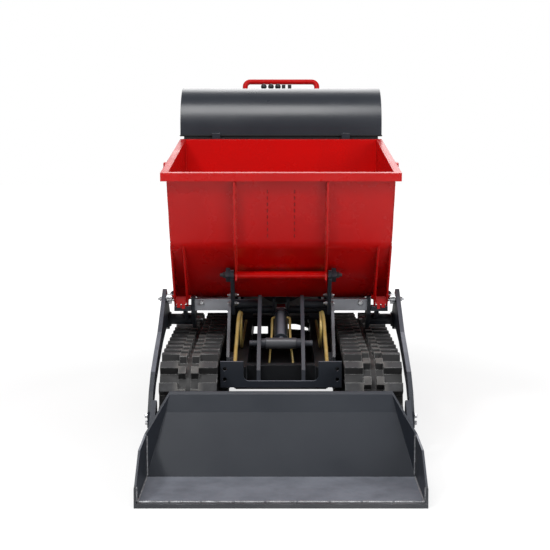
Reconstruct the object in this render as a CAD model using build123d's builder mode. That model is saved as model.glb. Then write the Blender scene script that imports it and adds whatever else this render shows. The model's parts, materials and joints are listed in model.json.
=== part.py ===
"""Tracked site dumper with a front-tipping skip and an over-arm loading shovel.

Millimetres. +Z is up, the front of the machine faces -Y and X runs across it. The origin is on the
ground under the middle of the machine, and the shovel arms turn about a line through Y = 0.
"""
import os
from math import atan2, cos, degrees, hypot, pi, sin

from build123d import *

# Clearances
seat_gap = 0.3          # between fixed curved faces that lie against each other
swing_gap = 5.0         # between pieces that swing past each other
pin_clearance = 0.05    # radial, a pin in its bore

# Rubber tracks
track_inner_x = 200.0
track_width = 180.0
track_front_y = -412.0  # centre of the front idler
track_rear_y = 428.0    # centre of the drive sprocket
lug_height = 22.0
belt_radius = 130.0     # outer face of the belt round the end wheels
belt_thickness = 16.0
lug_count = 35
lug_foot = 40.0
lug_crest = 24.0
track_groove = 16.0     # bare belt between the two rows of lugs
track_centre_z = belt_radius + lug_height
track_mid_x = track_inner_x + track_width / 2
wheel_radius = belt_radius - belt_thickness - seat_gap
axle_radius = 22.0

# Chassis
rail_x = 150.0          # outer face of each chassis rail
rail_width = 40.0
rail_height = 70.0
rail_z = 190.0          # underside of the rails
rail_front_y = -420.0
rail_rear_y = 900.0
beam_width = 60.0       # track frame beam between the wheels
beam_height = 80.0
front_plate_y = -430.0
front_plate_width = 388.0
front_plate_low = 195.0
front_plate_high = 279.0

# Front portal that carries the skip hinge and the arm pivots
portal_y = -80.0
portal_tube = 40.0
portal_z = 414.0
portal_reach = 296.0    # half length of the portal tube
hinge_y = -190.0        # skip hinge line
hinge_z = 528.0
hinge_pin_radius = 9.0
inner_upright_x = 158.0
outer_upright_x = 296.0
upright_thickness = 12.0
pivot_y = 0.0           # shovel arm pivot line
pivot_z = 349.0
pivot_tube_radius = 19.0
pivot_pin_radius = 15.0

# Skip
skip_top_half = 366.0   # outer half width of the walls under the rim
skip_floor_half = 358.0
skip_wall = 5.0
rim_half = 385.0
rim_height = 27.0
rim_front_y = -370.0
rim_rear_y = 476.0
rim_front_z = 877.0
rim_rear_z = 969.0
bend_y = -268.0
bend_z = 632.0
floor_front_y = -28.0
floor_z = 430.0
floor_rear_y = 400.0
rib_x = 150.0
rib_thickness = 6.0
rib_depth = 32.0
ear_outer_x = 358.5
ear_inner_x = 317.0
ear_thickness = 6.0

# Shovel and arms
arm_inner_x = 392.0
arm_thickness = 14.0
shovel_half = 400.0
shovel_plate = 6.0
shovel_top_half = 337.0
lip_y = -1085.0
crease_y = -792.0
shovel_waist_y = -685.0
shovel_waist_z = 172.0
shovel_top_y = -655.0
shovel_top_z = 232.0
crank_y = -119.0        # pin of the lift cylinder on the arm
crank_z = 437.0

# Cylinders
lift_x = 381.0
lift_base_y = 510.0
lift_base_z = 375.0
lift_barrel_radius = 18.0
lift_rod_radius = 10.0
lift_eye_thickness = 16.0
tip_eye_y = 20.0       # rod eye of the tipping cylinder under the skip
tip_eye_z = 380.0
tip_base_y = -282.0      # the ladder's pin carries the barrel
tip_base_z = 312.0
tip_barrel_radius = 24.0
tip_rod_radius = 14.0
tip_eye_thickness = 30.0

# Engine bay and hood
bay_front_y = 540.0
bay_rear_y = 930.0
bay_half = 380.0
bay_low_z = 372.0
bay_high_z = 968.0
bay_sheet = 3.0
hood_half = 390.0
hood_front_y = 547.0
hood_low_z = 980.0
hood_top_z = 1165.0
hood_radius = 150.0
hood_rear_y = 950.0
hood_sheet = 4.0

# Handle and controls
handle_tube_radius = 11.0
handle_half = 152.0
handle_y = 1074.0
handle_z = 1200.0


def save(piece, name):
    """Label a finished piece and write it as its own STEP file."""
    piece.part.label = name
    export_step(piece.part, f"parts/{name}.step")


def along(start, end, distance):
    """A point on the line from start to end, at a distance from start, in the Y-Z plane."""
    length = hypot(end[0] - start[0], end[1] - start[1])
    return (
        start[0] + (end[0] - start[0]) * distance / length,
        start[1] + (end[1] - start[1]) * distance / length,
    )


def side_of(x_position):
    """The Y-Z plane at a distance across the machine: local x is Y and local y is Z."""
    return Plane.YZ.offset(x_position)


def cylinder_plane(x_position, start, end):
    """A plane at start whose normal points to end, both given as (y, z)."""
    direction = (0, end[0] - start[0], end[1] - start[1])
    return Plane(origin=(x_position, start[0], start[1]), x_dir=(1, 0, 0), z_dir=direction)


os.makedirs("parts", exist_ok=True)
sides = (("left", -1), ("right", 1))


# ---------------------------------------------------------------- tracks
track_straight = track_rear_y - track_front_y
track_loop = 2 * track_straight + 2 * pi * belt_radius


def loop_point(distance, height):
    """A point over the belt: distance along its outer face, height outwards from that face."""
    reach = belt_radius + height
    arc = pi * belt_radius
    distance = distance % track_loop
    if distance < track_straight:
        return (track_front_y + distance, track_centre_z + reach)
    distance -= track_straight
    if distance < arc:
        turn = distance / belt_radius
        return (track_rear_y + reach * sin(turn), track_centre_z + reach * cos(turn))
    distance -= arc
    if distance < track_straight:
        return (track_rear_y - distance, track_centre_z - reach)
    turn = (distance - track_straight) / belt_radius
    return (track_front_y - reach * sin(turn), track_centre_z - reach * cos(turn))


def lug_outline(shift):
    """The toothed outline of one row of lugs, moved along the belt by a share of the pitch."""
    pitch = track_loop / lug_count
    outline = []
    for number in range(lug_count):
        middle = (number + shift) * pitch
        outline.append(loop_point(middle - lug_foot / 2, 0))
        outline.append(loop_point(middle - lug_crest / 2, lug_height))
        outline.append(loop_point(middle + lug_crest / 2, lug_height))
        outline.append(loop_point(middle + lug_foot / 2, 0))
    return outline


row_width = (track_width - track_groove) / 2
lug_step = 24.0
lug_step_shift = 0.26
for name, side in sides:
    low_x = side * track_mid_x - track_width / 2
    # Five strips lie side by side: each row of lugs is a bar with a stepped foot beside the bare groove.
    strips = (
        # start, width, toothed, shift along the belt
        (0, row_width - lug_step, True, 0.0),
        (row_width - lug_step, lug_step, True, side * lug_step_shift),
        (row_width, track_groove, False, 0.0),
        (row_width + track_groove, lug_step, True, side * lug_step_shift),
        (row_width + track_groove + lug_step, row_width - lug_step, True, 0.0),
    )
    with BuildPart() as track:
        for strip_x, width, toothed, shift in strips:
            with BuildSketch(side_of(low_x + strip_x)):
                if toothed:
                    with BuildLine():
                        Polyline(*lug_outline(shift), close=True)
                    make_face()
                else:
                    with Locations(((track_front_y + track_rear_y) / 2, track_centre_z)):
                        SlotCenterToCenter(track_straight, 2 * belt_radius)
                with Locations(((track_front_y + track_rear_y) / 2, track_centre_z)):
                    SlotCenterToCenter(
                        track_straight, 2 * (belt_radius - belt_thickness), mode=Mode.SUBTRACT
                    )
            extrude(amount=width)
    save(track, f"track_{name}")

# ---------------------------------------------------------------- wheels inside the tracks
idler_width = 70.0
sprocket_width = 46.0
sprocket_teeth = 11
roller_radius = 45.0
roller_width = 90.0
roller_places = (-250.0, -80.0, 90.0, 260.0)
roller_z = track_centre_z - belt_radius + belt_thickness + seat_gap + roller_radius

with BuildPart() as idlers:
    for name, side in sides:
        with BuildSketch(side_of(side * track_mid_x - idler_width / 2)):
            with Locations((track_front_y, track_centre_z)):
                Circle(wheel_radius)
                Circle(axle_radius + pin_clearance, mode=Mode.SUBTRACT)
        extrude(amount=idler_width)
        for face_x in (side * track_mid_x - idler_width / 2, side * track_mid_x + idler_width / 2 - 14):
            with BuildSketch(side_of(face_x)):
                with Locations((track_front_y, track_centre_z)):
                    Circle(wheel_radius - 22)
                    Circle(axle_radius + 22, mode=Mode.SUBTRACT)
            extrude(amount=14, mode=Mode.SUBTRACT)
save(idlers, "front_idlers")

with BuildPart() as sprockets:
    for name, side in sides:
        with BuildSketch(side_of(side * track_mid_x - sprocket_width / 2)):
            with Locations((track_rear_y, track_centre_z)):
                Circle(wheel_radius)
            with Locations((track_rear_y, track_centre_z)):
                with PolarLocations(wheel_radius, sprocket_teeth):
                    Circle(14, mode=Mode.SUBTRACT)
            with Locations((track_rear_y, track_centre_z)):
                Circle(52 + pin_clearance, mode=Mode.SUBTRACT)
        extrude(amount=sprocket_width)
save(sprockets, "drive_sprockets")

with BuildPart() as rollers:
    for name, side in sides:
        for place in roller_places:
            with BuildSketch(side_of(side * track_mid_x - roller_width / 2)):
                with Locations((place, roller_z)):
                    Circle(roller_radius)
                    Circle(12 + pin_clearance, mode=Mode.SUBTRACT)
            extrude(amount=roller_width)
            with BuildSketch(side_of(side * track_mid_x - 18)):
                with Locations((place, roller_z)):
                    Circle(roller_radius + 1)
                    Circle(roller_radius - 14, mode=Mode.SUBTRACT)
            extrude(amount=36, mode=Mode.SUBTRACT)
save(rollers, "track_rollers")

# ---------------------------------------------------------------- track frames
# A box beam runs between the wheels; a fork at the front holds the idler's axle and plates below
# it hold the rollers' pins.
beam_front_y = track_front_y + wheel_radius + 20
beam_rear_y = track_rear_y - wheel_radius - 12
beam_low_z = roller_z + roller_radius + 8
beam_high_z = beam_low_z + beam_height
fork_gap = idler_width + 6
fork_plate = 10.0
fork_half = 22.0
cheek_gap = roller_width + 2
for name, side in sides:
    with BuildPart() as beam:
        with BuildSketch(side_of(side * track_mid_x - beam_width / 2)):
            with Locations(((beam_front_y + beam_rear_y) / 2, (beam_low_z + beam_high_z) / 2)):
                Rectangle(beam_rear_y - beam_front_y, beam_height)
        extrude(amount=beam_width)
        for plate_x in (-fork_gap / 2 - fork_plate, fork_gap / 2):
            with BuildSketch(side_of(side * track_mid_x + plate_x)):
                with BuildLine():
                    Polyline(
                        (track_front_y - 6, track_centre_z - fork_half),
                        (beam_front_y + 60, track_centre_z - fork_half),
                        (beam_front_y + 60, track_centre_z + fork_half),
                        (track_front_y - 6, track_centre_z + fork_half),
                        close=True,
                    )
                make_face()
                with Locations((track_front_y, track_centre_z)):
                    Circle(30)
            extrude(amount=fork_plate)
        with BuildSketch(side_of(side * track_mid_x - fork_gap / 2)):
            with Locations((beam_front_y + 30, track_centre_z)):
                Rectangle(60, 2 * fork_half)
        extrude(amount=fork_gap)
        with BuildSketch(side_of(side * track_mid_x - fork_gap / 2 - fork_plate)):
            with Locations((track_front_y, track_centre_z)):
                Circle(axle_radius)
        extrude(amount=fork_gap + 2 * fork_plate)
        # Roller cheeks with their pins
        for plate_x in (-cheek_gap / 2 - 8, cheek_gap / 2):
            with BuildSketch(side_of(side * track_mid_x + plate_x)):
                with BuildLine():
                    Polyline(
                        (roller_places[0] - 30, roller_z - 14),
                        (roller_places[-1] + 30, roller_z - 14),
                        (roller_places[-1] + 50, beam_low_z + 8),
                        (roller_places[0] - 50, beam_low_z + 8),
                        close=True,
                    )
                make_face()
            extrude(amount=8)
        with BuildSketch(side_of(side * track_mid_x - cheek_gap / 2)):
            with Locations(((roller_places[0] + roller_places[-1]) / 2, beam_low_z + 4)):
                Rectangle(roller_places[-1] - roller_places[0] + 60, 8)
        extrude(amount=cheek_gap)
        with BuildSketch(side_of(side * track_mid_x - cheek_gap / 2)):
            for place in roller_places:
                with Locations((place, roller_z)):
                    Circle(12)
        extrude(amount=cheek_gap)
    save(beam, f"track_frame_{name}")

# ---------------------------------------------------------------- travel motors on the inner side
with BuildPart() as motors:
    for name, side in sides:
        start_x = side * (track_mid_x + sprocket_width / 2 + 12)
        with BuildSketch(side_of(start_x)):
            with Locations((track_rear_y, track_centre_z)):
                Circle(52)
        extrude(amount=-side * (track_mid_x + sprocket_width / 2 + 12 - rail_x))
        with BuildSketch(side_of(side * (track_inner_x - 6))):
            with Locations((track_rear_y, track_centre_z)):
                Circle(74)
        extrude(amount=-side * (track_inner_x - 6 - rail_x))
save(motors, "travel_motors")


# ---------------------------------------------------------------- chassis
rail_mid_z = rail_z + rail_height / 2
rail_top_z = rail_z + rail_height
cross_tube_radius = 30.0
cross_tube_z = (beam_low_z + beam_high_z) / 2
cross_tube_places = (-75.0, 230.0)
with BuildPart() as chassis:
    for name, side in sides:
        with BuildSketch(side_of(side * rail_x)):
            with Locations(((rail_front_y + rail_rear_y) / 2, rail_mid_z)):
                Rectangle(rail_rear_y - rail_front_y, rail_height)
        extrude(amount=-side * rail_width)
        for place in cross_tube_places:
            with BuildSketch(side_of(side * (rail_x - rail_width))):
                with Locations((place, cross_tube_z)):
                    Circle(cross_tube_radius)
            extrude(amount=side * (track_mid_x - beam_width / 2 - rail_x + rail_width))
    # Cross members and the plate that carries the engine
    mid_member_y = 300.0
    cross_members = (
        # y, low z, depth along y, height
        (rail_front_y + 50, rail_z, 40, rail_height),
        (mid_member_y, rail_z, 60, 20),
        (rail_rear_y - 20, rail_z, 40, rail_height),
    )
    for place, low_z, depth, height in cross_members:
        with BuildSketch(Plane.XY.offset(low_z)):
            with Locations((0, place)):
                Rectangle(2 * (rail_x - rail_width), depth)
        extrude(amount=height)
    with BuildSketch(Plane.XY.offset(rail_top_z)):
        with Locations((0, (bay_front_y + rail_rear_y) / 2)):
            Rectangle(2 * rail_x, rail_rear_y - bay_front_y)
    extrude(amount=8)
save(chassis, "chassis_frame")

# ---------------------------------------------------------------- front plate with its notch
notch_width = 240.0
notch_floor_z = 216.0
notch_radius = 18.0
with BuildPart() as front_plate:
    with BuildSketch(Plane.XZ.offset(-front_plate_y)):
        with Locations((0, (front_plate_low + front_plate_high) / 2)):
            Rectangle(front_plate_width, front_plate_high - front_plate_low)
        with Locations((0, notch_floor_z + 60)):
            RectangleRounded(notch_width, 120, notch_radius, mode=Mode.SUBTRACT)
        for side in (-1, 1):
            for height in (26, 60):
                with Locations((side * (front_plate_width / 2 - 14), front_plate_low + height)):
                    Circle(6.5, mode=Mode.SUBTRACT)
    extrude(amount=-(rail_front_y - front_plate_y))
save(front_plate, "front_plate")

# ---------------------------------------------------------------- front portal
portal_low_z = portal_z - portal_tube / 2
portal_high_z = portal_z + portal_tube / 2
leg_x = 172.0
leg_thickness = 10.0
with BuildPart() as portal:
    for name, side in sides:
        with BuildSketch(side_of(side * (inner_upright_x + upright_thickness))):
            with Locations((portal_y, portal_z)):
                Rectangle(portal_tube, portal_tube)
        extrude(amount=side * (portal_reach - inner_upright_x - upright_thickness))
        # Slanting leg down to the rail, with the pad that joins it to the rail's side
        with BuildSketch(side_of(side * leg_x)):
            with BuildLine():
                Polyline(
                    (portal_y - portal_tube / 2, portal_z),
                    (portal_y + portal_tube / 2, portal_z),
                    (portal_y + portal_tube / 2, portal_low_z),
                    (portal_y - 40, rail_top_z),
                    (portal_y - 40, rail_z),
                    (portal_y - 170, rail_z),
                    (portal_y - 170, rail_top_z),
                    close=True,
                )
            make_face()
        extrude(amount=side * leg_thickness)
        with BuildSketch(side_of(side * rail_x)):
            with Locations((portal_y - 105, rail_mid_z)):
                Rectangle(110, rail_height - 10)
        extrude(amount=side * (leg_x - rail_x))
save(portal, "front_portal")

ladder_x = 66.0
# Two tubes from the uprights to the ladder's straps, with the tipping cylinder free between them
with BuildPart() as centre_tube:
    for name, side in sides:
        with BuildSketch(side_of(side * ladder_x)):
            with Locations((portal_y, portal_z)):
                Circle(16)
        extrude(amount=side * (inner_upright_x - ladder_x))
save(centre_tube, "portal_centre_tube")

# ---------------------------------------------------------------- hinge uprights for the skip
upright_half = 17.0
with BuildPart() as hinge_uprights:
    for name, side in sides:
        with BuildSketch(side_of(side * inner_upright_x)):
            with BuildLine():
                Polyline(
                    (hinge_y - 12, hinge_z - 14),
                    (hinge_y + 14, hinge_z + 12),
                    (portal_y + 30, portal_high_z + 3),
                    (portal_y + 30, portal_low_z - 14),
                    (portal_y - 30, portal_low_z - 14),
                    close=True,
                )
            make_face()
            with Locations((hinge_y, hinge_z)):
                Circle(upright_half)
            with Locations((hinge_y, hinge_z)):
                Circle(hinge_pin_radius + pin_clearance, mode=Mode.SUBTRACT)
        extrude(amount=side * upright_thickness)
save(hinge_uprights, "skip_hinge_uprights")

# ---------------------------------------------------------------- outer uprights and arm pivots
with BuildPart() as outer_uprights:
    for name, side in sides:
        with BuildSketch(side_of(side * outer_upright_x)):
            with BuildLine():
                Polyline(
                    (portal_y - 28, portal_high_z + 6),
                    (portal_y + 28, portal_high_z + 6),
                    (pivot_y + 30, pivot_z + 6),
                    (pivot_y + 10, pivot_z - 30),
                    (pivot_y - 30, pivot_z - 20),
                    (portal_y - 28, portal_low_z - 10),
                    close=True,
                )
            make_face()
            with Locations((pivot_y, pivot_z)):
                Circle(32)
        extrude(amount=side * upright_thickness)
save(outer_uprights, "outer_uprights")

pivot_shoulder_x = arm_inner_x - seat_gap
pivot_cap_x = arm_inner_x + arm_thickness + 2 + seat_gap
with BuildPart() as pivots:
    # first x, last x, radius of each step of the shaft
    steps = (
        (outer_upright_x + upright_thickness, pivot_shoulder_x, pivot_tube_radius),
        (pivot_shoulder_x - 6, pivot_shoulder_x, 26.0),
        (pivot_shoulder_x, pivot_cap_x, pivot_pin_radius),
        (pivot_cap_x, pivot_cap_x + 4, 24.0),
    )
    for name, side in sides:
        for first_x, last_x, radius in steps:
            with BuildSketch(side_of(side * first_x)):
                with Locations((pivot_y, pivot_z)):
                    Circle(radius)
            extrude(amount=side * (last_x - first_x))
save(pivots, "arm_pivot_shafts")

# ---------------------------------------------------------------- rests under the skip's ears
ear_tip_z = 412.0
ear_tip_y = -118.0
rest_gap = 0.5
with BuildPart() as rests:
    for name, side in sides:
        start_x = side * (outer_upright_x + upright_thickness)
        with BuildSketch(side_of(start_x)):
            with Locations((ear_tip_y + 14, ear_tip_z - rest_gap - 8)):
                Rectangle(44, 16)
        extrude(amount=side * (ear_outer_x + ear_thickness - outer_upright_x - upright_thickness))
        with BuildSketch(side_of(side * (ear_inner_x + 6))):
            with BuildLine():
                Polyline(
                    (ear_tip_y - 2, ear_tip_z - rest_gap - 16),
                    (ear_tip_y + 32, ear_tip_z - rest_gap - 16),
                    (pivot_y - 6, pivot_z + pivot_tube_radius - 4),
                    (pivot_y - 16, pivot_z),
                    close=True,
                )
            make_face()
            with Locations((pivot_y, pivot_z)):
                Circle(pivot_tube_radius + seat_gap, mode=Mode.SUBTRACT)
        extrude(amount=side * 12)
save(rests, "skip_rests")

# ---------------------------------------------------------------- front ladder
ladder_plate = 12.0
ladder_pin_radius = 10.0
ladder_pin_reach = 104.0
tip_boss_half = 52.0
with BuildPart() as ladder:
    for name, side in sides:
        with BuildSketch(side_of(side * ladder_x)):
            with BuildLine():
                Polyline(
                    (rail_front_y, rail_z + 12),
                    (rail_front_y + 30, rail_z + 12),
                    (rail_front_y + 30, rail_top_z),
                    (rail_front_y + 66, rail_top_z),
                    (tip_base_y + 34, tip_base_z - 12),
                    (portal_y - 16 - seat_gap, portal_z - 10),
                    (portal_y - 16 - seat_gap, portal_z + 34),
                    (portal_y - 40, portal_z + 34),
                    (tip_base_y - 30, tip_base_z + 24),
                    (rail_front_y, rail_top_z - 10),
                    close=True,
                )
            make_face()
        extrude(amount=side * ladder_plate)
        # Spacer that keeps the cylinder's boss in the middle
        with BuildSketch(side_of(side * (tip_boss_half + seat_gap))):
            with Locations((tip_base_y, tip_base_z)):
                Circle(ladder_pin_radius + 6)
        extrude(amount=side * (ladder_x - tip_boss_half - seat_gap))
    with BuildSketch(side_of(-ladder_pin_reach)):
        with Locations((tip_base_y, tip_base_z)):
            Circle(ladder_pin_radius)
    extrude(amount=2 * ladder_pin_reach)
save(ladder, "front_ladder")


# ---------------------------------------------------------------- engine bay
corner_post = 30.0
bay_floor_z = rail_top_z + 8
door_thickness = 14.0
door_gap = 6.0
with BuildPart() as bay:
    for name, side in sides:
        for place in (bay_front_y + corner_post / 2, bay_rear_y - corner_post / 2):
            with BuildSketch(Plane.XY.offset(bay_low_z)):
                with Locations((side * (bay_half - corner_post / 2), place)):
                    Rectangle(corner_post, corner_post)
            extrude(amount=bay_high_z - bay_low_z)
        for low_z in (bay_low_z, bay_high_z - corner_post):
            with BuildSketch(Plane.XY.offset(low_z)):
                with Locations((side * (bay_half - corner_post / 2), (bay_front_y + bay_rear_y) / 2)):
                    Rectangle(corner_post, bay_rear_y - bay_front_y)
            extrude(amount=corner_post)
        # Struts from the rails up to the bay's lower frame
        for place in (bay_front_y + corner_post / 2, bay_rear_y - corner_post / 2):
            with BuildSketch(Plane.XZ.offset(-(place + corner_post / 2))):
                with BuildLine():
                    Polyline(
                        (side * (rail_x - rail_width), bay_floor_z),
                        (side * rail_x, bay_floor_z),
                        (side * bay_half, bay_low_z),
                        (side * (bay_half - corner_post), bay_low_z + corner_post),
                        (side * (rail_x - rail_width), bay_floor_z + 40),
                        close=True,
                    )
                make_face()
            extrude(amount=corner_post)
    # Front bulkhead and rear panel with its grille of slots
    for place in (bay_front_y, bay_rear_y - bay_sheet):
        with BuildSketch(Plane.XZ.offset(-(place + bay_sheet))):
            with Locations((0, (bay_low_z + bay_high_z) / 2)):
                Rectangle(2 * (bay_half - corner_post), bay_high_z - bay_low_z)
            if place > bay_front_y:
                with Locations((0, (bay_low_z + bay_high_z) / 2 - 80)):
                    with GridLocations(260, 22, 2, 9):
                        SlotOverall(220, 9, mode=Mode.SUBTRACT)
        extrude(amount=bay_sheet)
save(bay, "engine_bay_frame")

door_low_z = bay_low_z + corner_post + door_gap
door_high_z = bay_high_z - corner_post - door_gap
door_front_y = bay_front_y + corner_post + door_gap
door_rear_y = bay_rear_y - corner_post - door_gap
knuckle_radius = 6.0
knuckle_height = 40.0
door_hinge_x = bay_half + knuckle_radius + 1
door_hinge_y = door_rear_y + door_gap / 2
knuckle_places = (door_low_z + 70, door_high_z - 70 - knuckle_height)
for name, side in sides:
    with BuildPart() as door:
        with BuildSketch(side_of(side * bay_half)):
            with Locations(((door_front_y + door_rear_y) / 2, (door_low_z + door_high_z) / 2)):
                Rectangle(door_rear_y - door_front_y, door_high_z - door_low_z)
            with Locations(((door_front_y + door_rear_y) / 2, (door_low_z + door_high_z) / 2 + 60)):
                with GridLocations(110, 30, 2, 8):
                    SlotOverall(86, 10, mode=Mode.SUBTRACT)
        extrude(amount=-side * door_thickness)
        # Upper halves of the two hinges, each a knuckle on a leaf
        for low_z in knuckle_places:
            with BuildSketch(Plane.XY.offset(low_z)):
                with Locations((side * door_hinge_x, door_hinge_y)):
                    Circle(knuckle_radius)
                with Locations((side * (bay_half + 2), door_hinge_y - 20)):
                    Rectangle(4, 40)
            extrude(amount=knuckle_height / 2)
    save(door, f"service_door_{name}")

with BuildPart() as door_hinges:
    for name, side in sides:
        for low_z in knuckle_places:
            with BuildSketch(Plane.XY.offset(low_z - knuckle_height / 2 - seat_gap)):
                with Locations((side * door_hinge_x, door_hinge_y)):
                    Circle(knuckle_radius)
                with Locations((side * (bay_half + 2), door_hinge_y + 16)):
                    Rectangle(4, 32)
            extrude(amount=knuckle_height / 2)
save(door_hinges, "door_hinge_halves")

tank_shelf = 170.0
tank_width = 130.0
tank_length = 260.0
tank_height = 300.0
tank_x = bay_half - corner_post - door_thickness - tank_width / 2 - 10
engine_width = 2 * (bay_half - corner_post - tank_shelf - 10)
engine_length = 280.0
engine_height = 330.0
with BuildPart() as engine:
    with BuildSketch(Plane.XY.offset(bay_floor_z)):
        with Locations((0, (bay_front_y + bay_rear_y) / 2)):
            RectangleRounded(engine_width, engine_length, 20)
    extrude(amount=engine_height)
save(engine, "engine_block")

with BuildPart() as tank:
    for name, side in sides:
        with BuildSketch(Plane.XY.offset(bay_low_z + corner_post)):
            with Locations((side * tank_x, (bay_front_y + bay_rear_y) / 2)):
                RectangleRounded(tank_width, tank_length, 15)
        extrude(amount=tank_height)
        with BuildSketch(Plane.XY.offset(bay_low_z + corner_post - 12)):
            shelf_x = side * (bay_half - corner_post - tank_shelf / 2)
            with Locations((shelf_x, (bay_front_y + bay_rear_y) / 2)):
                Rectangle(tank_shelf, 60)
        extrude(amount=12)
save(tank, "fuel_and_oil_tanks")

# ---------------------------------------------------------------- hood
hood_crown_length = 170.0
hood_flange = 30.0
hood_hinge_y = bay_front_y - 7
hood_hinge_z = bay_high_z - 8
hood_hinge_places = (-250, 250)
hood_knuckle_length = 30.0
hood_knuckle_radius = 6.0
hood_pin_radius = 3.0
knuckle_gap = 1.0


def hood_block(inset):
    """The hood's rounded block, drawn in by inset on every side."""
    front_y = hood_front_y + inset
    rear_y = hood_rear_y - inset
    top_z = hood_top_z - inset
    springing_z = hood_top_z - hood_radius
    crown_y = hood_front_y + hood_crown_length
    with BuildPart() as block:
        with BuildSketch(side_of(-hood_half + inset)):
            with BuildLine():
                EllipticalCenterArc(
                    (crown_y, springing_z), crown_y - front_y, top_z - springing_z, 90, arc_size=90
                )
                Polyline(
                    (crown_y, top_z),
                    (rear_y - 40, top_z - 6),
                    (rear_y, top_z - 36),
                    (rear_y, hood_low_z + inset),
                    (front_y, hood_low_z + inset),
                    (front_y, springing_z),
                )
            make_face()
        extrude(amount=2 * (hood_half - inset))
    return block.part


with BuildPart() as hood:
    add(hood_block(0))
    add(hood_block(hood_sheet), mode=Mode.SUBTRACT)
    # Opening in the underside, which leaves a flange all round
    with BuildSketch(Plane.XY.offset(hood_low_z)):
        with Locations((0, (hood_front_y + hood_rear_y) / 2)):
            Rectangle(
                2 * (hood_half - hood_flange),
                hood_rear_y - hood_front_y - 2 * hood_flange,
            )
    extrude(amount=hood_sheet + 1, mode=Mode.SUBTRACT)
    # Hinge straps in front of the bulkhead, each with its knuckle
    for place in hood_hinge_places:
        with BuildSketch(side_of(place - hood_knuckle_length / 2)):
            with Locations((hood_hinge_y, hood_hinge_z)):
                Circle(hood_knuckle_radius)
            with Locations((hood_hinge_y, hood_hinge_z + 15)):
                Rectangle(6, 30)
            with Locations(((hood_hinge_y - 3 + hood_front_y + 1) / 2, hood_low_z + 7)):
                Rectangle(hood_front_y + 4 - hood_hinge_y, 6)
            with Locations((hood_hinge_y, hood_hinge_z)):
                Circle(hood_pin_radius + pin_clearance, mode=Mode.SUBTRACT)
        extrude(amount=hood_knuckle_length)
save(hood, "hood")

with BuildPart() as hood_hinges:
    for place in hood_hinge_places:
        outer = hood_knuckle_length / 2 + knuckle_gap + 16
        with BuildSketch(side_of(place - outer)):
            with Locations((hood_hinge_y, hood_hinge_z)):
                Circle(hood_pin_radius)
        extrude(amount=2 * outer)
        for start_x in (place - outer, place + outer - 16):
            with BuildSketch(side_of(start_x)):
                with Locations((hood_hinge_y, hood_hinge_z)):
                    Circle(hood_knuckle_radius)
                with Locations((bay_front_y - 2, hood_hinge_z - 15)):
                    Rectangle(4, 30)
            extrude(amount=16)
save(hood_hinges, "hood_hinge_brackets")

with BuildPart() as seal:
    with BuildSketch(Plane.XY.offset(bay_high_z)):
        with Locations((0, (bay_front_y + bay_rear_y) / 2)):
            Rectangle(2 * bay_half - 8, bay_rear_y - bay_front_y - 16)
            Rectangle(2 * bay_half - 44, bay_rear_y - bay_front_y - 52, mode=Mode.SUBTRACT)
    extrude(amount=hood_low_z - bay_high_z - seat_gap)
save(seal, "hood_seal")

# ---------------------------------------------------------------- console, controls and handle
console_front_y = hood_rear_y + 8
console_depth = 66.0
console_half = 150.0
console_low_z = 900.0
console_top_z = 1092.0
with BuildPart() as console:
    with BuildSketch(Plane.XY.offset(console_low_z)):
        with Locations((0, console_front_y + console_depth / 2)):
            RectangleRounded(2 * console_half, console_depth, 10)
    extrude(amount=console_top_z - console_low_z)
    with BuildSketch(Plane.XZ.offset(-console_front_y)):
        with Locations((0, console_low_z + 30)):
            Rectangle(240, 60)
    extrude(amount=console_front_y - bay_rear_y)
save(console, "control_console")

knob_levers = (-72.0, -42.0, -13.0)
plain_levers = (11.0, 36.0)
lever_y = console_front_y + 24
lever_height = 80.0
lever_top_z = console_top_z + lever_height
with BuildPart() as levers:
    for place in knob_levers + plain_levers:
        with BuildSketch(Plane.XY.offset(console_top_z)):
            with Locations((place, lever_y)):
                Circle(9)
        extrude(amount=10)
        with BuildSketch(Plane.XY.offset(console_top_z)):
            with Locations((place, lever_y)):
                Circle(4.5)
        extrude(amount=lever_top_z - console_top_z)
    for place in knob_levers:
        with Locations((place, lever_y, lever_top_z + 6)):
            Sphere(12)
    for place in plain_levers:
        with BuildSketch(Plane.XY.offset(lever_top_z - 30)):
            with Locations((place, lever_y)):
                Circle(7.5)
        extrude(amount=44)
save(levers, "control_levers")

handle_foot_y = console_front_y + console_depth + handle_tube_radius
handle_foot_z = console_low_z + 20
with BuildPart() as handle:
    with BuildLine():
        grip_path = FilletPolyline(
            (-handle_half, handle_foot_y, handle_foot_z),
            (-handle_half, handle_foot_y, console_top_z),
            (-handle_half, handle_y, handle_z),
            (handle_half, handle_y, handle_z),
            (handle_half, handle_foot_y, console_top_z),
            (handle_half, handle_foot_y, handle_foot_z),
            radius=22,
        )
    with BuildSketch(Plane.XY.offset(handle_foot_z)):
        with Locations((-handle_half, handle_foot_y)):
            Circle(handle_tube_radius)
    sweep(path=grip_path)
    for name, side in sides:
        for low_z in (handle_foot_z + 10, console_top_z - 60):
            with BuildSketch(Plane.XY.offset(low_z)):
                with Locations((side * (console_half - 10), handle_foot_y - (handle_tube_radius + 2) / 2)):
                    Rectangle(16, handle_tube_radius - 2)
            extrude(amount=20)
save(handle, "operator_handle")

# ---------------------------------------------------------------- hydraulic pipes beside the rails
pipe_radius = 5.0
pipe_x = 136.0
with BuildPart() as pipes:
    for name, side in sides:
        with BuildLine():
            FilletPolyline(
                (side * pipe_x, portal_y - 22, portal_low_z - 6),
                (side * pipe_x, portal_y - 150, rail_top_z + pipe_radius + seat_gap),
                (side * pipe_x, bay_front_y - 60, rail_top_z + pipe_radius + seat_gap),
                radius=60,
            )
        with BuildSketch(cylinder_plane(side * pipe_x, (portal_y - 22, portal_low_z - 6),
                                        (portal_y - 150, rail_top_z + pipe_radius + seat_gap))):
            Circle(pipe_radius)
        sweep()
save(pipes, "hydraulic_pipes")


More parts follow.
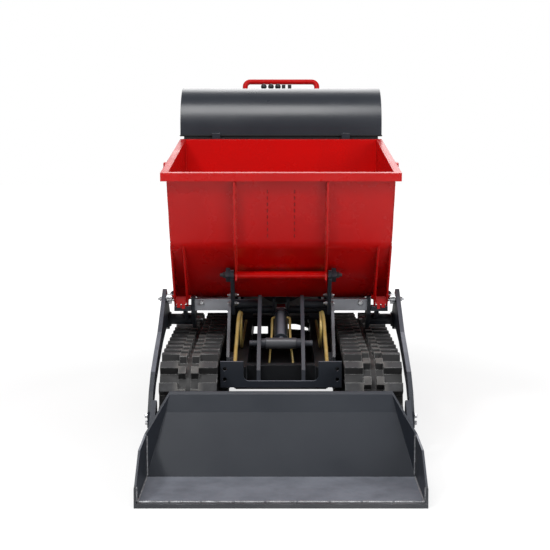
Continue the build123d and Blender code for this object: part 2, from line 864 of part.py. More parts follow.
# ---------------------------------------------------------------- skip
rim_slope = (rim_rear_z - rim_front_z) / (rim_rear_y - rim_front_y)


def rim_top(place):
    """Height of the rim's top face at a distance along the machine."""
    return rim_front_z + (place - rim_front_y) * rim_slope


rim_ledge = rim_half - skip_top_half
wall_front_y = rim_front_y + rim_ledge
wall_rear_y = rim_rear_y - rim_ledge
wall_front_z = rim_top(wall_front_y)
wall_rear_z = rim_top(wall_rear_y)
skip_outline = (
    # y, z down the front wall, along the floor and up the rear wall
    (wall_front_y, wall_front_z),
    (bend_y, bend_z),
    (floor_front_y, floor_z),
    (floor_rear_y, floor_z),
    (wall_rear_y, wall_rear_z),
)
fold_radius = 24.0
bend_radius = 60.0


def skip_block(inset):
    """The skip's tapering block. Drawn in by inset, it also stands above the rim, to cut the mouth."""
    rise = 60.0 if inset else 0.0
    front_top = along((bend_y, bend_z), (wall_front_y, wall_front_z), skip_front_length + rise)
    rear_top = along((floor_rear_y, floor_z), (wall_rear_y, wall_rear_z), skip_rear_length + rise)
    with BuildPart() as block:
        with BuildSketch(side_of(-rim_half)) as section:
            with BuildLine():
                Polyline(front_top, *skip_outline[1:4], rear_top, close=True)
            make_face()
            if inset:
                offset(amount=-inset, kind=Kind.INTERSECTION)
            bend_corner = section.vertices().sort_by(Axis.Y)[2]
            fillet(bend_corner, radius=bend_radius - inset)
            floor_corners = section.vertices().sort_by(Axis.Y)[0:2]
            fillet(floor_corners, radius=fold_radius - inset)
        extrude(amount=2 * rim_half)
        for side in (-1, 1):
            lean = Vector(side * (rim_front_z - floor_z), 0, skip_floor_half - skip_top_half)
            origin = Vector(side * (skip_floor_half - inset), 0, floor_z)
            split(bisect_by=Plane(origin=origin, z_dir=lean), keep=Keep.BOTTOM)
    return block.part


skip_front_length = hypot(wall_front_y - bend_y, wall_front_z - bend_z)
skip_rear_length = hypot(wall_rear_y - floor_rear_y, wall_rear_z - floor_z)
skip_space = skip_block(0)
with BuildPart() as tub:
    add(skip_space)
    add(skip_block(skip_wall), mode=Mode.SUBTRACT)
save(tub, "skip_tub")

with BuildPart() as rim:
    rim_plane = Plane(
        origin=(0, rim_front_y, rim_front_z),
        x_dir=(1, 0, 0),
        z_dir=(0, -rim_slope, 1),
    )
    rim_length = hypot(rim_rear_y - rim_front_y, rim_rear_z - rim_front_z)
    with BuildSketch(rim_plane):
        with Locations((0, rim_length / 2)):
            Rectangle(2 * rim_half, rim_length)
    extrude(amount=-rim_height)
    add(skip_space, mode=Mode.SUBTRACT)
save(rim, "skip_rim")

# ---------------------------------------------------------------- ribs that end in the hinge
with BuildPart() as ribs:
    for name, side in sides:
        with BuildSketch(side_of(side * rib_x - rib_thickness / 2)):
            with BuildLine():
                Polyline(
                    (wall_front_y + 40, rim_front_z - rim_height - 2),
                    (wall_front_y - 16, rim_front_z - rim_height - 2),
                    (bend_y - rib_depth, bend_z + 10),
                    (hinge_y - 22, hinge_z + 6),
                    (hinge_y - 20, hinge_z - 16),
                    (hinge_y + 8, hinge_z - 26),
                    (hinge_y + 48, hinge_z - 12),
                    (hinge_y + 70, hinge_z + 20),
                    (bend_y + 40, bend_z),
                    close=True,
                )
            make_face()
            with Locations((hinge_y, hinge_z)):
                Circle(hinge_pin_radius, mode=Mode.SUBTRACT)
        extrude(amount=rib_thickness)
        with BuildSketch(side_of(side * (rib_x + rib_thickness / 2))):
            with Locations((hinge_y, hinge_z)):
                Circle(hinge_pin_radius)
        extrude(amount=side * (inner_upright_x + upright_thickness + 18 - rib_x - rib_thickness / 2))
    add(skip_space, mode=Mode.SUBTRACT)
    with BuildSketch(side_of(-(rib_x + rib_thickness / 2))):
        with Locations((hinge_y, hinge_z)):
            Circle(hinge_pin_radius)
    extrude(amount=2 * rib_x + rib_thickness)
    with BuildSketch(side_of(-(rib_x - rib_thickness / 2))):
        with Locations((hinge_y, hinge_z)):
            Circle(12.5)
    extrude(amount=2 * rib_x - rib_thickness)
save(ribs, "skip_ribs")

# Square blocks with their nuts on the ends of the hinge pin
with BuildPart() as hinge_blocks:
    for name, side in sides:
        start_x = side * (inner_upright_x + upright_thickness + 0.4)
        with BuildSketch(side_of(start_x)):
            with Locations((hinge_y, hinge_z)):
                Rectangle(34, 34, rotation=-40)
                Circle(hinge_pin_radius, mode=Mode.SUBTRACT)
        extrude(amount=side * 14)
save(hinge_blocks, "hinge_end_blocks")

# ---------------------------------------------------------------- ears at the lower front corners
ear_plates = (
    # inner x of each plate
    ear_inner_x,
    ear_outer_x,
)
with BuildPart() as ears:
    for name, side in sides:
        for plate_x in ear_plates:
            with BuildSketch(side_of(side * plate_x)):
                with BuildLine():
                    Polyline(
                        (bend_y + 60, bend_z - 6),
                        (bend_y - 4, bend_z + 2),
                        (bend_y + 38, bend_z - 58),
                        (ear_tip_y, ear_tip_z),
                        (ear_tip_y + 20, ear_tip_z),
                        (ear_tip_y + 44, ear_tip_z + 34),
                        (floor_front_y + 10, floor_z + 22),
                        close=True,
                    )
                make_face()
            extrude(amount=side * ear_thickness)
        # Cross plate between the two
        with BuildSketch(side_of(side * (ear_inner_x + ear_thickness))):
            with BuildLine():
                Polyline(
                    (ear_tip_y + 6, ear_tip_z + 16),
                    (ear_tip_y + 16, ear_tip_z + 16),
                    (ear_tip_y + 48, ear_tip_z + 56),
                    (ear_tip_y + 40, ear_tip_z + 60),
                    close=True,
                )
            make_face()
        extrude(amount=side * (ear_outer_x - ear_inner_x - ear_thickness))
    add(skip_space, mode=Mode.SUBTRACT)
save(ears, "skip_ears")

# ---------------------------------------------------------------- red lugs on the rim that stop the arms
rim_lug_y = -125.0
rim_lug_length = 30.0
rim_lug_reach = 10.0
with BuildPart() as rim_lugs:
    for name, side in sides:
        with BuildSketch(side_of(side * rim_half)):
            with Locations((rim_lug_y, rim_top(rim_lug_y) - rim_height / 2)):
                Rectangle(rim_lug_length, 22, rotation=degrees(atan2(rim_slope, 1)))
        extrude(amount=side * rim_lug_reach)
save(rim_lugs, "rim_stop_lugs")

# ---------------------------------------------------------------- tipping cylinder
lug_gap = tip_eye_thickness / 2 + swing_gap
lug_plate = 10.0
eye_tube_radius = 14.0
eye_tube_reach = 141.0
with BuildPart() as tip_lugs:
    for side in (-1, 1):
        for low_x in (lug_gap, eye_tube_reach - lug_plate):
            with BuildSketch(side_of(side * low_x)):
                with BuildLine():
                    Polyline(
                        (floor_front_y + 14, floor_z),
                        (tip_eye_y + 80, floor_z),
                        (tip_eye_y + 22, tip_eye_z - 8),
                        (tip_eye_y - 18, tip_eye_z - 8),
                        (tip_eye_y - 22, floor_z - 10),
                        close=True,
                    )
                make_face()
                with Locations((tip_eye_y, tip_eye_z)):
                    Circle(20)
            extrude(amount=side * lug_plate)
        with BuildSketch(side_of(side * lug_gap)):
            with Locations((tip_eye_y, tip_eye_z)):
                Circle(eye_tube_radius)
        extrude(amount=side * (eye_tube_reach - lug_gap))
save(tip_lugs, "tipping_cylinder_lugs")

tip_base = (tip_base_y, tip_base_z)
tip_eye = (tip_eye_y, tip_eye_z)
tip_length = hypot(tip_eye_y - tip_base_y, tip_eye_z - tip_base_z)
tip_barrel_length = tip_length - 50


def cylinder_barrel(x_position, base, eye, barrel_length, sizes):
    """Outer solid of a hydraulic barrel: sizes are (barrel, bore, eye, pin) radii and eye thickness."""
    barrel_radius, bore_radius, eye_radius, pin_radius, eye_thickness = sizes
    base_plane = cylinder_plane(x_position, base, eye)
    with BuildPart() as barrel:
        with BuildSketch(base_plane.offset(eye_radius - 6)):
            Circle(pin_radius + 3)
        extrude(amount=20)
        with BuildSketch(base_plane.offset(eye_radius + 10)):
            Circle(barrel_radius)
        extrude(amount=barrel_length - eye_radius - 10)
        with BuildSketch(base_plane.offset(barrel_length - 22)):
            Circle(barrel_radius + 3)
        extrude(amount=22)
        with BuildSketch(base_plane.offset(eye_radius + 22)):
            Circle(bore_radius)
        extrude(amount=barrel_length, mode=Mode.SUBTRACT)
        with BuildSketch(side_of(x_position - eye_thickness / 2)):
            with Locations(base):
                Circle(eye_radius)
        extrude(amount=eye_thickness)
        with BuildSketch(side_of(x_position - eye_thickness / 2)):
            with Locations(base):
                Circle(pin_radius + pin_clearance)
        extrude(amount=eye_thickness, mode=Mode.SUBTRACT)
    return barrel


def cylinder_rod(x_position, base, eye, first, sizes):
    """Rod from a distance along the barrel to its eye: sizes are (rod, eye, pin) radii and thickness."""
    rod_radius, eye_radius, pin_radius, eye_thickness = sizes
    length = hypot(eye[0] - base[0], eye[1] - base[1])
    rod_plane = cylinder_plane(x_position, base, eye)
    with BuildPart() as rod:
        with BuildSketch(rod_plane.offset(first)):
            Circle(rod_radius)
        extrude(amount=length - first - eye_radius + 4)
        with BuildSketch(side_of(x_position - eye_thickness / 2)):
            with Locations(eye):
                Circle(eye_radius)
        extrude(amount=eye_thickness)
        with BuildSketch(side_of(x_position - eye_thickness / 2 - 1.5)):
            with Locations(eye):
                Circle(pin_radius)
        extrude(amount=eye_thickness + 3)
    return rod


tip_barrel = cylinder_barrel(
    0, tip_base, tip_eye, tip_barrel_length,
    (tip_barrel_radius, tip_rod_radius + pin_clearance, 17.0, ladder_pin_radius, 2 * tip_boss_half),
)
save(tip_barrel, "tipping_cylinder_barrel")
tip_rod = cylinder_rod(
    0, tip_base, tip_eye, 42.0, (tip_rod_radius, 20.0, 12.0, tip_eye_thickness)
)
save(tip_rod, "tipping_cylinder_rod")

# ---------------------------------------------------------------- lift cylinders beside the skip
lift_base = (lift_base_y, lift_base_z)
lift_eye = (crank_y, crank_z)
lift_length = hypot(crank_y - lift_base_y, crank_z - lift_base_z)
lift_barrel_length = lift_length - 250
lift_pin_radius = 9.0
for name, side in sides:
    lift_barrel = cylinder_barrel(
        side * lift_x, lift_base, lift_eye, lift_barrel_length,
        (lift_barrel_radius, lift_rod_radius + pin_clearance, 17.0, lift_pin_radius, 26.0),
    )
    save(lift_barrel, f"lift_cylinder_barrel_{name}")
    lift_rod = cylinder_rod(
        side * lift_x, lift_base, lift_eye, 230.0,
        (lift_rod_radius, 17.0, lift_pin_radius, lift_eye_thickness),
    )
    save(lift_rod, f"lift_cylinder_rod_{name}")

# The base bracket of each lift cylinder stands out from the engine bay's front post
with BuildPart() as lift_brackets:
    for name, side in sides:
        plate_low_x = lift_x - 13 - 2 - 10
        with BuildSketch(side_of(side * plate_low_x)):
            with BuildLine():
                Polyline(
                    (lift_base_y, lift_base_z - 18),
                    (bay_front_y, lift_base_z - 3),
                    (bay_front_y, bay_low_z + corner_post),
                    (lift_base_y, lift_base_z + 18),
                    close=True,
                )
            make_face()
            with Locations(lift_base):
                Circle(18)
        extrude(amount=side * 10)
        with BuildSketch(side_of(side * (plate_low_x + 10))):
            with Locations(lift_base):
                Circle(lift_pin_radius)
        extrude(amount=side * 36)
save(lift_brackets, "lift_cylinder_brackets")

# ---------------------------------------------------------------- shovel arms
arm_foot_y = -655.0
arm_foot_z = 118.0
for name, side in sides:
    with BuildPart() as arm:
        with BuildSketch(side_of(side * arm_inner_x)):
            with BuildLine():
                Polyline(
                    (crank_y + 26, crank_z + 31),
                    (-298, 353),
                    (-421, 309),
                    (-529, 266),
                    (-598, 217),
                    (-639, 164),
                    (arm_foot_y, arm_foot_z),
                    (arm_foot_y + 52, arm_foot_z),
                    (-560, 180),
                    (-500, 222),
                    (-380, 268),
                    (-240, 312),
                    (-110, 338),
                    (pivot_y - 12, pivot_z - 34),
                    (pivot_y + 28, pivot_z),
                    (pivot_y + 14, pivot_z + 36),
                    (crank_y + 40, crank_z + 24),
                    close=True,
                )
            make_face()
            with Locations((pivot_y, pivot_z)):
                Circle(36)
            with Locations((pivot_y, pivot_z)):
                Circle(pivot_pin_radius + pin_clearance, mode=Mode.SUBTRACT)
        extrude(amount=side * arm_thickness)
        # Head of the crank pin, which stands just clear of the rod's eye
        with BuildSketch(side_of(side * arm_inner_x)):
            with Locations((crank_y, crank_z)):
                Circle(12)
        extrude(amount=-side * 1.5)
    save(arm, f"shovel_arm_{name}")

# ---------------------------------------------------------------- shovel
edge_depth = 18.0
edge_height = 13.0
side_rear_z = 133.0     # the side plates end at the crease, where the wings begin
side_peak_y = -960.0
side_peak_z = 129.0


def shovel_volume(inset):
    """The convex space inside the shovel's plates, drawn in by inset on the floor, sides and back."""
    lower_normal = Vector(0, shovel_waist_z, crease_y - shovel_waist_y)
    upper_normal = Vector(0, shovel_top_z - shovel_waist_z, shovel_waist_y - shovel_top_y)
    cuts = [
        (Vector(0, crease_y, 0), lower_normal),
        (Vector(0, shovel_waist_y, shovel_waist_z), upper_normal),
    ]
    for side in (-1, 1):
        wing_normal = Vector(side * (shovel_top_y - crease_y), shovel_half - shovel_top_half, 0)
        cuts.append((Vector(side * shovel_half, crease_y, 0), wing_normal))
    with BuildPart() as volume:
        with BuildSketch(Plane.XY.offset(inset)):
            with Locations((0, (lip_y + shovel_top_y) / 2)):
                Rectangle(2 * (shovel_half - inset), shovel_top_y - lip_y + 60)
        extrude(amount=shovel_top_z + 60)
        for origin, normal in cuts:
            outward = normal.normalized()
            split(bisect_by=Plane(origin=origin - outward * inset, z_dir=outward), keep=Keep.BOTTOM)
    return volume.part


shovel_space = shovel_volume(0)
with BuildPart() as shell:
    add(shovel_space)
    add(shovel_volume(shovel_plate), mode=Mode.SUBTRACT)
    with BuildSketch(side_of(-shovel_half)):
        with BuildLine():
            Polyline(
                (lip_y + edge_depth, 0),
                (lip_y + edge_depth, 58),
                (side_peak_y, side_peak_z),
                (crease_y, side_rear_z),
                (shovel_top_y, shovel_top_z),
                (shovel_top_y + 60, shovel_top_z),
                (shovel_top_y + 60, 0),
                close=True,
            )
        make_face()
    extrude(amount=2 * shovel_half, mode=Mode.INTERSECT)
save(shell, "shovel_shell")

with BuildPart() as cutting_edge:
    with BuildSketch(Plane.XY):
        with Locations((0, lip_y + edge_depth / 2)):
            Rectangle(2 * shovel_half, edge_depth)
    extrude(amount=edge_height)
    for side in (-1, 1):
        with BuildSketch(side_of(side * shovel_half)):
            with BuildLine():
                Polyline(
                    (lip_y, 0),
                    (lip_y + 4, 54),
                    (lip_y + edge_depth, 58),
                    (lip_y + edge_depth, 0),
                    close=True,
                )
            make_face()
        extrude(amount=-side * shovel_plate)
save(cutting_edge, "shovel_cutting_edge")

# Each bracket fills the space between an arm's foot and the shovel's wing
bracket_inner_x = min(arm_inner_x - 16, shovel_half - 24)
with BuildPart() as brackets:
    for side in (-1, 1):
        with BuildSketch(side_of(side * bracket_inner_x)):
            with BuildLine():
                Polyline(
                    (crease_y + 6, 40),
                    (-700, 40),
                    (arm_foot_y + 10, arm_foot_z),
                    (-628, 124),
                    (-642, 196),
                    (-660, 205),
                    (crease_y + 6, 120),
                    close=True,
                )
            make_face()
        extrude(amount=side * (arm_inner_x - bracket_inner_x))
    add(shovel_space, mode=Mode.SUBTRACT)
save(brackets, "shovel_arm_brackets")
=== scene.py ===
# Tracked mini dumper: finishes, small parts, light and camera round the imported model.
import bpy
import math
import json
import bmesh
import numpy as np
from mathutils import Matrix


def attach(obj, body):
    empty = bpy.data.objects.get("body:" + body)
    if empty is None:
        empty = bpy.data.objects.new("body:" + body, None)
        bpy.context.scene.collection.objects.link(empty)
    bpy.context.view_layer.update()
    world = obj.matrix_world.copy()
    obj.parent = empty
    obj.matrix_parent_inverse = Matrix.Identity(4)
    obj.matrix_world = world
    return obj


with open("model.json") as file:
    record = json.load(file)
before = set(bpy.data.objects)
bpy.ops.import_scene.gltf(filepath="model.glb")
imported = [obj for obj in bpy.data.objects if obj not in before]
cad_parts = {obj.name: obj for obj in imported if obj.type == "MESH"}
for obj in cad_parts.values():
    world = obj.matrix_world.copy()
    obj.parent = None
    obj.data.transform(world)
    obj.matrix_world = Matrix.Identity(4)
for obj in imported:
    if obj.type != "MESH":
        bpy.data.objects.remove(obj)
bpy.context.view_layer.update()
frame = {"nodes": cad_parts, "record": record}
nodes = frame["nodes"]
print("frame loaded:", len(nodes), "nodes")


def addNode(tree, kind, *sockets, **named):
    # one shader node; a value is a socket to link or a plain one, by the inputs' order or by name
    node = tree.nodes.new(kind)
    for key, value in [*enumerate(sockets), *named.items()]:
        if isinstance(key, str) and hasattr(node, key):
            setattr(node, key, value)
            continue
        socket = node.inputs[key.replace("_", " ") if isinstance(key, str) else key]
        if isinstance(value, bpy.types.NodeSocket):
            tree.links.new(value, socket)
        else:
            socket.default_value = value
    return node


def noiseField(tree, place, scale, detail, rough, stretch=None):
    # fractal noise of the object coordinates, in 0..1
    if stretch is not None:
        place = addNode(tree, "ShaderNodeMapping", Vector=place, Scale=stretch).outputs["Vector"]
    return addNode(tree, "ShaderNodeTexNoise", Vector=place, Scale=scale, Detail=detail,
                   Roughness=rough).outputs["Fac"]


def between(tree, value, *ranges):
    # straight line from one range to another, clamped
    return addNode(tree, "ShaderNodeMapRange", value, *ranges).outputs["Result"]


def mathOf(tree, operation, *values):
    # one sum on sockets and plain numbers
    return addNode(tree, "ShaderNodeMath", *values, operation=operation).outputs[0]


def partsOf(tree, vector):
    # a vector's x, y and z
    return addNode(tree, "ShaderNodeSeparateXYZ", vector).outputs


def blendColour(tree, factor, first, second):
    # first where the factor is 0, second where it is 1
    node = tree.nodes.new("ShaderNodeMix")
    node.data_type = "RGBA"
    tree.links.new(factor, node.inputs[0])
    for socket, value in ((node.inputs[6], first), (node.inputs[7], second)):
        if isinstance(value, tuple):
            socket.default_value = (*value, 1.0)
        else:
            tree.links.new(value, socket)
    return node.outputs[2]


trackLoop = dict(
    centreX=0.29, frontY=-0.412, rearY=0.428, centreZ=0.152, crest=(0.149, 0.1512), innerEnd=(0.034, 0.05),
    scuffNoise=(34.0, 5.0, 0.7), scuffFrom=(0.35, 0.65), scuffTo=(0.35, 1.0))


def lugCrest(tree, place):
    # 1 on the lugs' outer faces: how far a point lies from the line between the two end wheels, in patches;
    # and the same kept to the lugs' inner ends, by the distance from the middle of the belt
    across, along, up = partsOf(tree, place)
    held = addNode(tree, "ShaderNodeClamp", along, trackLoop["frontY"], trackLoop["rearY"])
    fromLine = addNode(tree, "ShaderNodeCombineXYZ", Y=mathOf(tree, "SUBTRACT", along, held.outputs[0]),
                       Z=mathOf(tree, "SUBTRACT", up, trackLoop["centreZ"]))
    reach = addNode(tree, "ShaderNodeVectorMath", fromLine.outputs[0], operation="LENGTH")
    crest = between(tree, reach.outputs["Value"], *trackLoop["crest"], 0.0, 1.0)
    scuffNoise = noiseField(tree, place, *trackLoop["scuffNoise"])
    patches = between(tree, scuffNoise, *trackLoop["scuffFrom"], *trackLoop["scuffTo"])
    worn = mathOf(tree, "MULTIPLY", crest, patches)
    fromMiddle = mathOf(tree, "SUBTRACT", mathOf(tree, "ABSOLUTE", across), trackLoop["centreX"])
    innerEnd = between(tree, mathOf(tree, "ABSOLUTE", fromMiddle), *trackLoop["innerEnd"], 1.0, 0.0)
    return worn, mathOf(tree, "MULTIPLY", worn, innerEnd)


# what all finishes share: each layer's noise (detail and roughness, the up-facing tone's with its scale
# first) and the part of its range that is used; sharp and shine are ranges of the turn at an edge and of the
# upward look
layer = dict(
    slow=(5.0, 0.6), mottle=(0.35, 0.68), gloss=(0.3, 0.7), grain=(3.0, 0.5), wearAndHighlight=(4.0, 0.7),
    wearAndHighlightFrom=(0.42, 0.62), sharp=(0.99, 0.8), dustAndTopLight=(9.0, 6.0, 0.7), dustAndTopLightFrom=(0.25, 0.6),
    dustAndTopLightTo=(0.55, 1.0), darkerBelowShare=0.9, shine=(0.0, 0.12))


def makeFinish(name, look):
    # colour = base drifting to second with slow noise, then to the up-facing tone where the surface looks up
    # (dust and a painted top light), darker towards the bottom below a given height, to the worn tones on
    # the lugs' crests, and to the edge tone where the surface turns sharply (edge wear and a painted
    # highlight); roughness drifts between two values;
    # upSpecular is the gloss where the surface looks up; the normal is rounded at edges and roughened by
    # fine noise
    material = bpy.data.materials.new(name)
    material.use_nodes = True
    tree = material.node_tree
    shader = tree.nodes["Principled BSDF"]
    coordinates = addNode(tree, "ShaderNodeTexCoord").outputs
    place = coordinates["Object"]
    mottleScale, grainScale = look["noise"]
    wearAndHighlightAmount, edgeRadius, wearAndHighlightScale = look["wearAndHighlight"]
    slow = noiseField(tree, place, mottleScale, *layer["slow"], look.get("stretch"))
    fine = noiseField(tree, place, grainScale, *layer["grain"], look.get("stretch"))
    colour = blendColour(tree, between(tree, slow, *layer["mottle"], 0.0, 1.0), look["base"], look["second"])
    # the up-facing tone: dust and a painted highlight on the track rubber, a painted top light (a lighter
    # copy of the paint) on the dark paints
    if "dustAndTopLight" in look:
        upward = partsOf(tree, coordinates["Normal"])["Z"]
        facingUpShare = between(tree, upward, *look["dustAndTopLightFacing"], 0.0, look["dustAndTopLightAmount"])
        dustAndTopLightNoise = noiseField(tree, place, *layer["dustAndTopLight"])
        patches = between(tree, dustAndTopLightNoise, *layer["dustAndTopLightFrom"], *layer["dustAndTopLightTo"])
        colour = blendColour(tree, mathOf(tree, "MULTIPLY", facingUpShare, patches), colour, look["dustAndTopLight"])
    # darker towards the bottom: below a given height the colour drifts to a dark tone
    if "darkerBelow" in look:
        low = between(tree, partsOf(tree, place)["Z"], *look["darkerBelowHeight"], layer["darkerBelowShare"], 0.0)
        colour = blendColour(tree, low, colour, look["darkerBelow"])
    if "wornLug" in look:
        crest, innerEnd = lugCrest(tree, place)
        colour = blendColour(tree, crest, colour, look["wornLug"])
        colour = blendColour(tree, innerEnd, colour, look["scuffedLug"])
    bevel = addNode(tree, "ShaderNodeBevel", samples=4, Radius=edgeRadius)
    flat = addNode(tree, "ShaderNodeNewGeometry").outputs["Normal"]
    turn = addNode(tree, "ShaderNodeVectorMath", flat, bevel.outputs[0], operation="DOT_PRODUCT")
    sharp = between(tree, turn.outputs["Value"], *layer["sharp"], 0.0, 1.0)
    # the edge tone in patches: partly edge wear, partly a painted highlight along edges, strongest on the
    # track rubber and the red welds
    wearAndHighlightNoise = noiseField(tree, place, wearAndHighlightScale, *layer["wearAndHighlight"])
    patchy = between(tree, wearAndHighlightNoise, *layer["wearAndHighlightFrom"], 0.0, wearAndHighlightAmount)
    colour = blendColour(tree, mathOf(tree, "MULTIPLY", sharp, patchy), colour, look["edge"])
    tree.links.new(colour, shader.inputs["Base Color"])
    tree.links.new(between(tree, slow, *layer["gloss"], *look["rough"]), shader.inputs["Roughness"])
    shader.inputs["Metallic"].default_value = look.get("metallic", 0.0)
    shader.inputs["Specular IOR Level"].default_value = look.get("specular", 0.5)
    if "upSpecular" in look:
        upward = partsOf(tree, coordinates["Normal"])["Z"]
        shine = between(tree, upward, *layer["shine"], look["specular"], look["upSpecular"])
        tree.links.new(shine, shader.inputs["Specular IOR Level"])
    shader.inputs["Coat Weight"].default_value = look.get("coat", 0.0)
    shader.inputs["Coat Roughness"].default_value = look.get("coatRough", 0.1)
    strength, depth = look["bump"]
    bump = addNode(tree, "ShaderNodeBump", Strength=strength, Distance=depth, Height=fine,
                   Normal=bevel.outputs[0])
    tree.links.new(bump.outputs[0], shader.inputs["Normal"])
    return material


# the tuple for the edge tone is its amount, the edge's radius and its noise's scale; the edge tone is partly
# wear and partly a painted highlight; noise is the scale of the mottle and of the grain; rough is its low
# and high; bump is its strength and depth
finishes = {
    "redPaint": dict(
        slot="red_paint", base=(0.56, 0.0018, 0.0014), second=(0.5, 0.0014, 0.0012),
        edge=(0.78, 0.07, 0.05), wearAndHighlight=(0.8, 0.0016, 40.0), noise=(5.0, 260.0), rough=(0.24, 0.32),
        bump=(0.1, 0.0005), specular=0.38, upSpecular=0.12),
    # its up-facing tone is a painted top light, a lighter copy of the paint, kept by the finishes derived
    # from it
    "darkPaint": dict(
        slot="dark_paint", base=(0.0195, 0.0235, 0.032), second=(0.024, 0.0285, 0.0375),
        edge=(0.14, 0.15, 0.17), wearAndHighlight=(0.9, 0.0016, 30.0), noise=(4.0, 320.0), rough=(0.36, 0.46),
        bump=(0.2, 0.0005), specular=0.34, dustAndTopLight=(0.18, 0.192, 0.225), dustAndTopLightFacing=(0.8, 0.97),
        dustAndTopLightAmount=1.0),
    # the grey paint turns darker towards the bottom below the given height
    "greyPaint": dict(
        slot="grey_paint", base=(0.32, 0.335, 0.375), second=(0.37, 0.385, 0.42), edge=(0.4, 0.41, 0.44),
        wearAndHighlight=(0.8, 0.0014, 30.0), noise=(6.0, 300.0), rough=(0.34, 0.46), bump=(0.2, 0.0005), metallic=0.15,
        coat=0.1, coatRough=0.3, darkerBelow=(0.045, 0.047, 0.053), darkerBelowHeight=(0.33, 0.415)),
    # its up-facing tone is dust and a painted highlight on the lugs' upper flanks; its pale edge tone is a
    # painted highlight on the lugs' edges
    "trackRubber": dict(
        slot="track_rubber", base=(0.012, 0.012, 0.0125), second=(0.02, 0.02, 0.021),
        edge=(0.36, 0.36, 0.355), wearAndHighlight=(1.0, 0.0045, 22.0), noise=(14.0, 190.0), rough=(0.5, 0.75),
        bump=(0.5, 0.0009), specular=0.45, dustAndTopLight=(0.11, 0.108, 0.104), dustAndTopLightFacing=(0.75, 0.98),
        dustAndTopLightAmount=0.45, wornLug=(0.043, 0.044, 0.048), scuffedLug=(0.112, 0.107, 0.1)),
    "sealRubber": dict(
        slot="seal_rubber", base=(0.012, 0.012, 0.013), second=(0.02, 0.02, 0.021), edge=(0.04, 0.04, 0.04),
        wearAndHighlight=(0.3, 0.002, 30.0), noise=(30.0, 300.0), rough=(0.7, 0.9), bump=(0.4, 0.0006), specular=0.3),
    "blackPlastic": dict(
        slot="black_plastic", base=(0.014, 0.014, 0.015), second=(0.02, 0.02, 0.022),
        edge=(0.05, 0.05, 0.05), wearAndHighlight=(0.3, 0.0012, 30.0), noise=(20.0, 500.0), rough=(0.3, 0.5),
        bump=(0.25, 0.0004)),
    "chromeRod": dict(
        slot="chrome_rod", base=(0.72, 0.73, 0.75), second=(0.62, 0.63, 0.66), edge=(0.8, 0.8, 0.8),
        metallic=1.0, wearAndHighlight=(0.2, 0.0008, 60.0), noise=(18.0, 700.0), rough=(0.08, 0.2),
        bump=(0.05, 0.0003)),
    "goldPassivated": dict(
        slot="plated_steel", base=(0.66, 0.47, 0.12), second=(0.74, 0.58, 0.26), edge=(0.8, 0.68, 0.4),
        wearAndHighlight=(0.4, 0.0008, 60.0), noise=(25.0, 500.0), rough=(0.34, 0.5), bump=(0.1, 0.0004),
        metallic=0.45),
    "zincPlate": dict(
        slot="plated_steel", base=(0.6, 0.61, 0.62), second=(0.46, 0.47, 0.5), edge=(0.72, 0.7, 0.66),
        metallic=1.0, wearAndHighlight=(0.5, 0.0008, 60.0), noise=(30.0, 500.0), rough=(0.25, 0.42),
        bump=(0.15, 0.0004)),
    "engineAlloy": dict(
        slot="engine_alloy", base=(0.34, 0.34, 0.34), second=(0.26, 0.26, 0.27), edge=(0.5, 0.5, 0.5),
        metallic=0.9, wearAndHighlight=(0.4, 0.002, 30.0), noise=(10.0, 160.0), rough=(0.5, 0.7), bump=(0.5, 0.001)),
    "motorIron": dict(
        slot="motor_iron", base=(0.03, 0.031, 0.034), second=(0.045, 0.046, 0.05), edge=(0.1, 0.1, 0.1),
        wearAndHighlight=(0.5, 0.002, 30.0), noise=(12.0, 140.0), rough=(0.45, 0.65), bump=(0.5, 0.001), metallic=0.2),
    "wornSteel": dict(
        slot="worn_steel", base=(0.04, 0.043, 0.05), second=(0.075, 0.078, 0.085), edge=(0.3, 0.3, 0.31),
        wearAndHighlight=(0.9, 0.0016, 18.0), noise=(16.0, 240.0), rough=(0.32, 0.5), bump=(0.25, 0.0006), metallic=0.3,
        stretch=(0.25, 1.0, 1.0)),
}
derived = {
    "bareWeld": ("wornSteel", dict(
        base=(0.17, 0.175, 0.185), second=(0.52, 0.53, 0.55), noise=(120.0, 240.0),
        wearAndHighlight=(0.5, 0.0016, 18.0), bump=(0.5, 0.0006), metallic=0.4, stretch=(0.4, 1.0, 1.0))),
    # the lighter mottle and pale edge tone of the red weld are painted highlights on the beads
    "redWeld": ("redPaint", dict(
        base=(0.4, 0.002, 0.0016), second=(0.72, 0.045, 0.035), edge=(0.9, 0.3, 0.26), noise=(95.0, 260.0),
        rough=(0.12, 0.24), bump=(0.4, 0.0005))),
    "darkRedWeld": ("redPaint", dict(
        base=(0.15, 0.0015, 0.0015), second=(0.3, 0.004, 0.004), edge=(0.75, 0.12, 0.1),
        noise=(80.0, 260.0), rough=(0.2, 0.4), bump=(0.4, 0.0005))),
    "hoodPaint": ("darkPaint", dict(rough=(0.27, 0.34), specular=0.62, dustAndTopLightAmount=0.1)),
    # a lighter copy of the dark paint: painted light on the ladder
    "ladderLitPaint": ("darkPaint", dict(
        base=(0.045, 0.049, 0.06), second=(0.054, 0.058, 0.07), dustAndTopLightAmount=0.2)),
    # a near-black copy of the dark paint: painted shade for the frame, belly plate and bulkhead in the dark
    # under the machine
    "shadeBlackPaint": ("darkPaint", dict(
        base=(0.008, 0.0085, 0.01), second=(0.013, 0.014, 0.016), dustAndTopLight=(0.02, 0.02, 0.022), specular=0.2)),
    "blackScrew": ("darkPaint", dict(base=(0.02, 0.021, 0.024), second=(0.032, 0.033, 0.036))),
}
for name, (start, changes) in derived.items():
    finishes[name] = dict(finishes[start], **changes)
made = {name: makeFinish(name, look) for name, look in finishes.items()}
